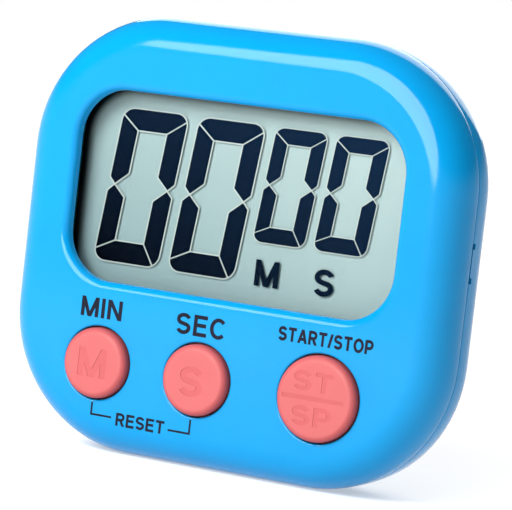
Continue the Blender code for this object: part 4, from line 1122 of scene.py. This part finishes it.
# Finishes by slot: name, colour, variation, roughness, grain, grain depth, metallic, specular
PLAIN = {
    "shell": ("blue_abs", (0.001, 0.204, 0.452), 0.015, 0.1, 900.0, 0.000003, 0.0, 0.2),
    "ink": ("navy_ink", (0.002, 0.003, 0.011), 0.3, 0.45, 3000.0, 0.000005, 0.0, 0.1),
    "foil": ("nickel_plate", (0.52, 0.52, 0.54), 0.05, 0.2, 1500.0, 0.000003, 1.0),
    "screw": ("screw_zinc", (0.36, 0.36, 0.38), 0.08, 0.32, 2500.0, 0.000006, 1.0),
    "steel": ("bright_steel", (0.58, 0.58, 0.59), 0.04, 0.25, 2200.0, 0.000004, 1.0),
    "contact": ("contact_nickel", (0.66, 0.64, 0.56), 0.06, 0.3, 2600.0, 0.000005, 1.0),
    "brass": ("brass_plate", (0.76, 0.52, 0.2), 0.07, 0.3, 2600.0, 0.000005, 1.0),
    "ceramic": ("pale_ceramic", (0.60, 0.53, 0.40), 0.05, 0.6, 4000.0, 0.000008),
    "resistor": ("resistor_black", (0.02, 0.02, 0.022), 0.2, 0.4, 4000.0, 0.000006),
    "epoxy": ("black_epoxy", (0.012, 0.012, 0.014), 0.25, 0.22, 700.0, 0.00003),
    "rubber": ("keypad_rubber", (0.66, 0.66, 0.64), 0.04, 0.75, 2800.0, 0.00001),
    "carbon": ("carbon_pill", (0.012, 0.012, 0.012), 0.3, 0.85, 4500.0, 0.00001),
    "wire_red": ("wire_red", (0.5, 0.02, 0.02), 0.06, 0.45, 3000.0, 0.000008),
    "wire_black": ("wire_black", (0.015, 0.015, 0.016), 0.2, 0.45, 3000.0, 0.000008),
}
FINISHES = {slot: moulded(*values) for slot, values in PLAIN.items()}
FINISHES.update({
    # Painted shade: the coral takes a darker tint in the letters cut into each key and on its sides behind the
    # front.
    "key": moulded("coral_rubber", (0.40, 0.087, 0.087), 0.03, 0.5, 3500.0, 0.00001, specular=0.15,
                   recess=(-KEY_PROUD + MARK_DEEP / 3, MARK_DEPTH, (0.95, 0.85, 0.87))),
    "window": clear_cover(),
    # The display's back: painted light, lighter towards the upper right, and a painted shadow of the window's
    # left and top walls.
    "lcd": across_display("lcd_back", (0.124, 0.190, 0.196), (0.252, 0.335, 0.325), 0.1, painted_wall_shadow=True),
    "magnet": FINISHES["foil"],
    "zebra": striped("zebra_rubber", (0.02, 0.02, 0.02), (0.62, 0.36, 0.38), 1800.0, 0.7),
    "board": solder_mask("solder_mask_green"),
})
for subpart in frame["record"]["subparts"]:
    node = frame["nodes"][subpart["node"]]
    node.data.materials.clear()
    node.data.materials.append(FINISHES[subpart["material_slot"]])


# ---- Pieces ----

finish(make_front_shell(), "case", "shell", "front_case")
finish(make_back_shell(), "case", "shell", "back_case")

finish(make_battery_door(), "battery_door", "shell", "battery_door")
finish(make_stand(), "kick_stand", "shell", "kick_stand")
for side in MAGNETS:
    finish(make_magnet(side), "case", "magnet", f"magnet_{side}")
for number in range(1, len(CASE_SCREWS) + 1):
    finish(make_case_screw(number), "case", "screw", f"case_screw_{number}")

finish(make_cover(), "case", "window", "display_window")
finish(make_panel(), "case", "lcd", "lcd_front_glass", "lcd_rear_glass", "lcd_reflector")

# Digits, in millimetres: middle, low, high, width
for name, *place in (
    ("digit_minutes_tens", -16.77, 27.6, 50.3, 10.8),
    ("digit_minutes_ones", -4.32, 27.6, 50.3, 10.8),
    ("digit_seconds_tens", 7.18, 33.6, 50.25, 8.25),
    ("digit_seconds_ones", 16.80, 33.6, 50.25, 8.25),
):
    place = [value * MM for value in place]
    finish(make_digit(name, *place), "case", "ink", material=LCD_INK)
    finish(make_digit_edge(name + "_edge", *place), "case", "lcd", material=LCD_EDGE)

# Words, with x, z, height and width in millimetres
for name, text, place in (("lcd_letter_m", "M", (5.05, 29.3, 3.75, 3.65)),
                          ("lcd_letter_s", "S", (14.1, 29.25, 3.75, 2.95))):
    piece = lettering(name, text, place, DIGIT_DEPTH, DIGIT_DEPTH + FILM, 1.15)
    finish(piece, "case", "ink", material=LCD_INK)

for name, text, place, weight in (
    ("label_min", "MIN", (-18.75, 21.05, 2.88, 6.75), 1.1),
    ("label_sec", "SEC", (-2.35, 20.83, 3.0, 7.95), 1.1),
    ("label_start_stop", "START/STOP", (17.25, 21.75, 1.95, 14.6), 1.35),
    ("label_reset", "RESET", (-10.45, 5.48, 1.85, 7.95), 1.2),
):
    finish(lettering(name, text, place, -PRINT_DEPTH, PRINT_DEPTH, weight), "case", "ink")

for side, *corner in (("left", -18.62, 5.6, 7.35, -15.25), ("right", -2.38, 5.3, 7.35, -5.85)):
    finish(make_bracket(f"reset_bracket_{side}", *[value * MM for value in corner]), "case", "ink")

KEY_WORDS = {
    "min": [("M", (-18.7, 13.15, 4.2, 4.5))],
    "sec": [("S", (-2.35, 12.9, 4.2, 3.6))],
    "start_stop": [("ST", (16.7, 15.85, 2.7, 6.0)), ("SP", (16.95, 10.95, 2.7, 6.0))],
}
KEY_BAR = (12.1 * MM, 21.6 * MM, 13.2 * MM, 13.75 * MM)
for name, words in KEY_WORDS.items():
    outside = -KEY_PROUD - OVERLAP
    marks = [lettering(f"mark_{text}", text, place, outside, MARK_DEPTH, 1.15) for text, place in words]
    if name == "start_stop":
        marks.append(block("mark_bar", *KEY_BAR, outside, MARK_DEPTH))
    finish(make_key(name, marks), f"{name}_key", "key", f"button_{name}")
    make_dome(name)


# ---- Stage ----

FLOOR_REACH = 40.0
CAMERA_PLACE = (181.61 * MM, -366.05 * MM, 62.09 * MM)
CAMERA_FORWARD = (-0.44029, 0.89473, -0.07481)
CAMERA_UP = (-0.13514, 0.01633, 0.99069)
CAMERA_LENS = 200.14
SOFTBOX_DIRECTION = (-0.094, -0.894, 0.438)


def make_floor():
    """A pale flat floor, lit a little from below like a light table."""
    bm = bmesh.new()
    corners = ((-1, -1), (1, -1), (1, 1), (-1, 1))
    bm.faces.new([bm.verts.new((x * FLOOR_REACH, y * FLOOR_REACH, 0.0)) for x, y in corners])
    floor = make_object("floor", bm)
    pale = Material("pale_floor")
    pale.feed(pale.shader, {
        "Base Color": (0.6, 0.6, 0.6, 1.0), "Roughness": 0.9, "Specular IOR Level": 0.1,
        "Emission Color": (1.0, 1.0, 1.0, 1.0), "Emission Strength": 0.42,
    })
    floor.data.materials.append(pale.made)


def make_world():
    """A studio that is bright round the horizon and dim overhead."""
    world = bpy.data.worlds.new("studio")
    world.use_nodes = True
    bpy.context.scene.world = world
    nodes, links = world.node_tree.nodes, world.node_tree.links
    coordinates = nodes.new("ShaderNodeTexCoord")
    split = nodes.new("ShaderNodeSeparateXYZ")
    links.new(coordinates.outputs["Generated"], split.inputs["Vector"])
    tone = nodes.new("ShaderNodeValToRGB")
    tone.color_ramp.elements[0].position = 0.06
    tone.color_ramp.elements[0].color = (1.0, 1.0, 1.0, 1.0)
    tone.color_ramp.elements[1].position = 0.22
    tone.color_ramp.elements[1].color = (0.1, 0.1, 0.105, 1.0)
    links.new(split.outputs["Z"], tone.inputs["Fac"])
    links.new(tone.outputs["Color"], nodes["Background"].inputs["Color"])


def add_lamp(name, lamp, place, direction, glossy=True, diffuse=True):
    """Adds a lamp that shines from direction. It can light diffuse or glossy surfaces only."""
    obj = bpy.data.objects.new(name, lamp)
    obj.rotation_mode = "QUATERNION"
    obj.rotation_quaternion = Vector(direction).to_track_quat("Z", "Y")
    obj.location = place
    obj.visible_camera = False
    obj.visible_glossy = glossy
    obj.visible_diffuse = diffuse
    bpy.context.scene.collection.objects.link(obj)


def make_sun(name, direction, strength, angle, **rays):
    """A soft lamp far away in that direction, as wide as angle in degrees."""
    lamp = bpy.data.lights.new(name, "SUN")
    lamp.energy = strength
    lamp.angle = math.radians(angle)
    add_lamp(name, lamp, Vector(direction).normalized(), direction, **rays)


def make_near_lamp(name, direction, distance, width, power):
    """A round lamp close to the timer, which lights diffuse surfaces only."""
    lamp = bpy.data.lights.new(name, "AREA")
    lamp.shape = "DISK"
    lamp.size = width
    lamp.energy = power
    direction = Vector(direction).normalized()
    add_lamp(name, lamp, point(0.0, CASE_TOP / 2, 0.0) + direction * distance, direction, glossy=False)


def make_camera():
    camera = bpy.data.cameras.new("camera")
    camera.lens = CAMERA_LENS
    camera.clip_start = 0.01
    camera.clip_end = 200.0
    obj = bpy.data.objects.new("camera", camera)
    bpy.context.scene.collection.objects.link(obj)
    forward = Vector(CAMERA_FORWARD).normalized()
    up = Vector(CAMERA_UP).normalized()
    right = forward.cross(up).normalized()
    up = right.cross(forward)
    turn = Matrix((right, up, -forward)).transposed().to_4x4()
    obj.matrix_world = Matrix.Translation(CAMERA_PLACE) @ turn
    bpy.context.scene.camera = obj


make_floor()
make_world()
make_sun("round_softbox_gloss", SOFTBOX_DIRECTION, 8.4, 54, diffuse=False)
make_sun("round_softbox", SOFTBOX_DIRECTION, 2.2, 54, glossy=False)
make_near_lamp("upper_left_lamp", (-0.366, -0.785, 0.5), 0.25, 0.12, 0.785)
make_sun("overhead", (0.0, 0.15, 1.0), 1.4, 70, glossy=False)
make_sun("back_fill", (-0.2, 0.85, 0.5), 1.8, 50)
make_camera()
bpy.context.scene.view_settings.view_transform = "Standard"
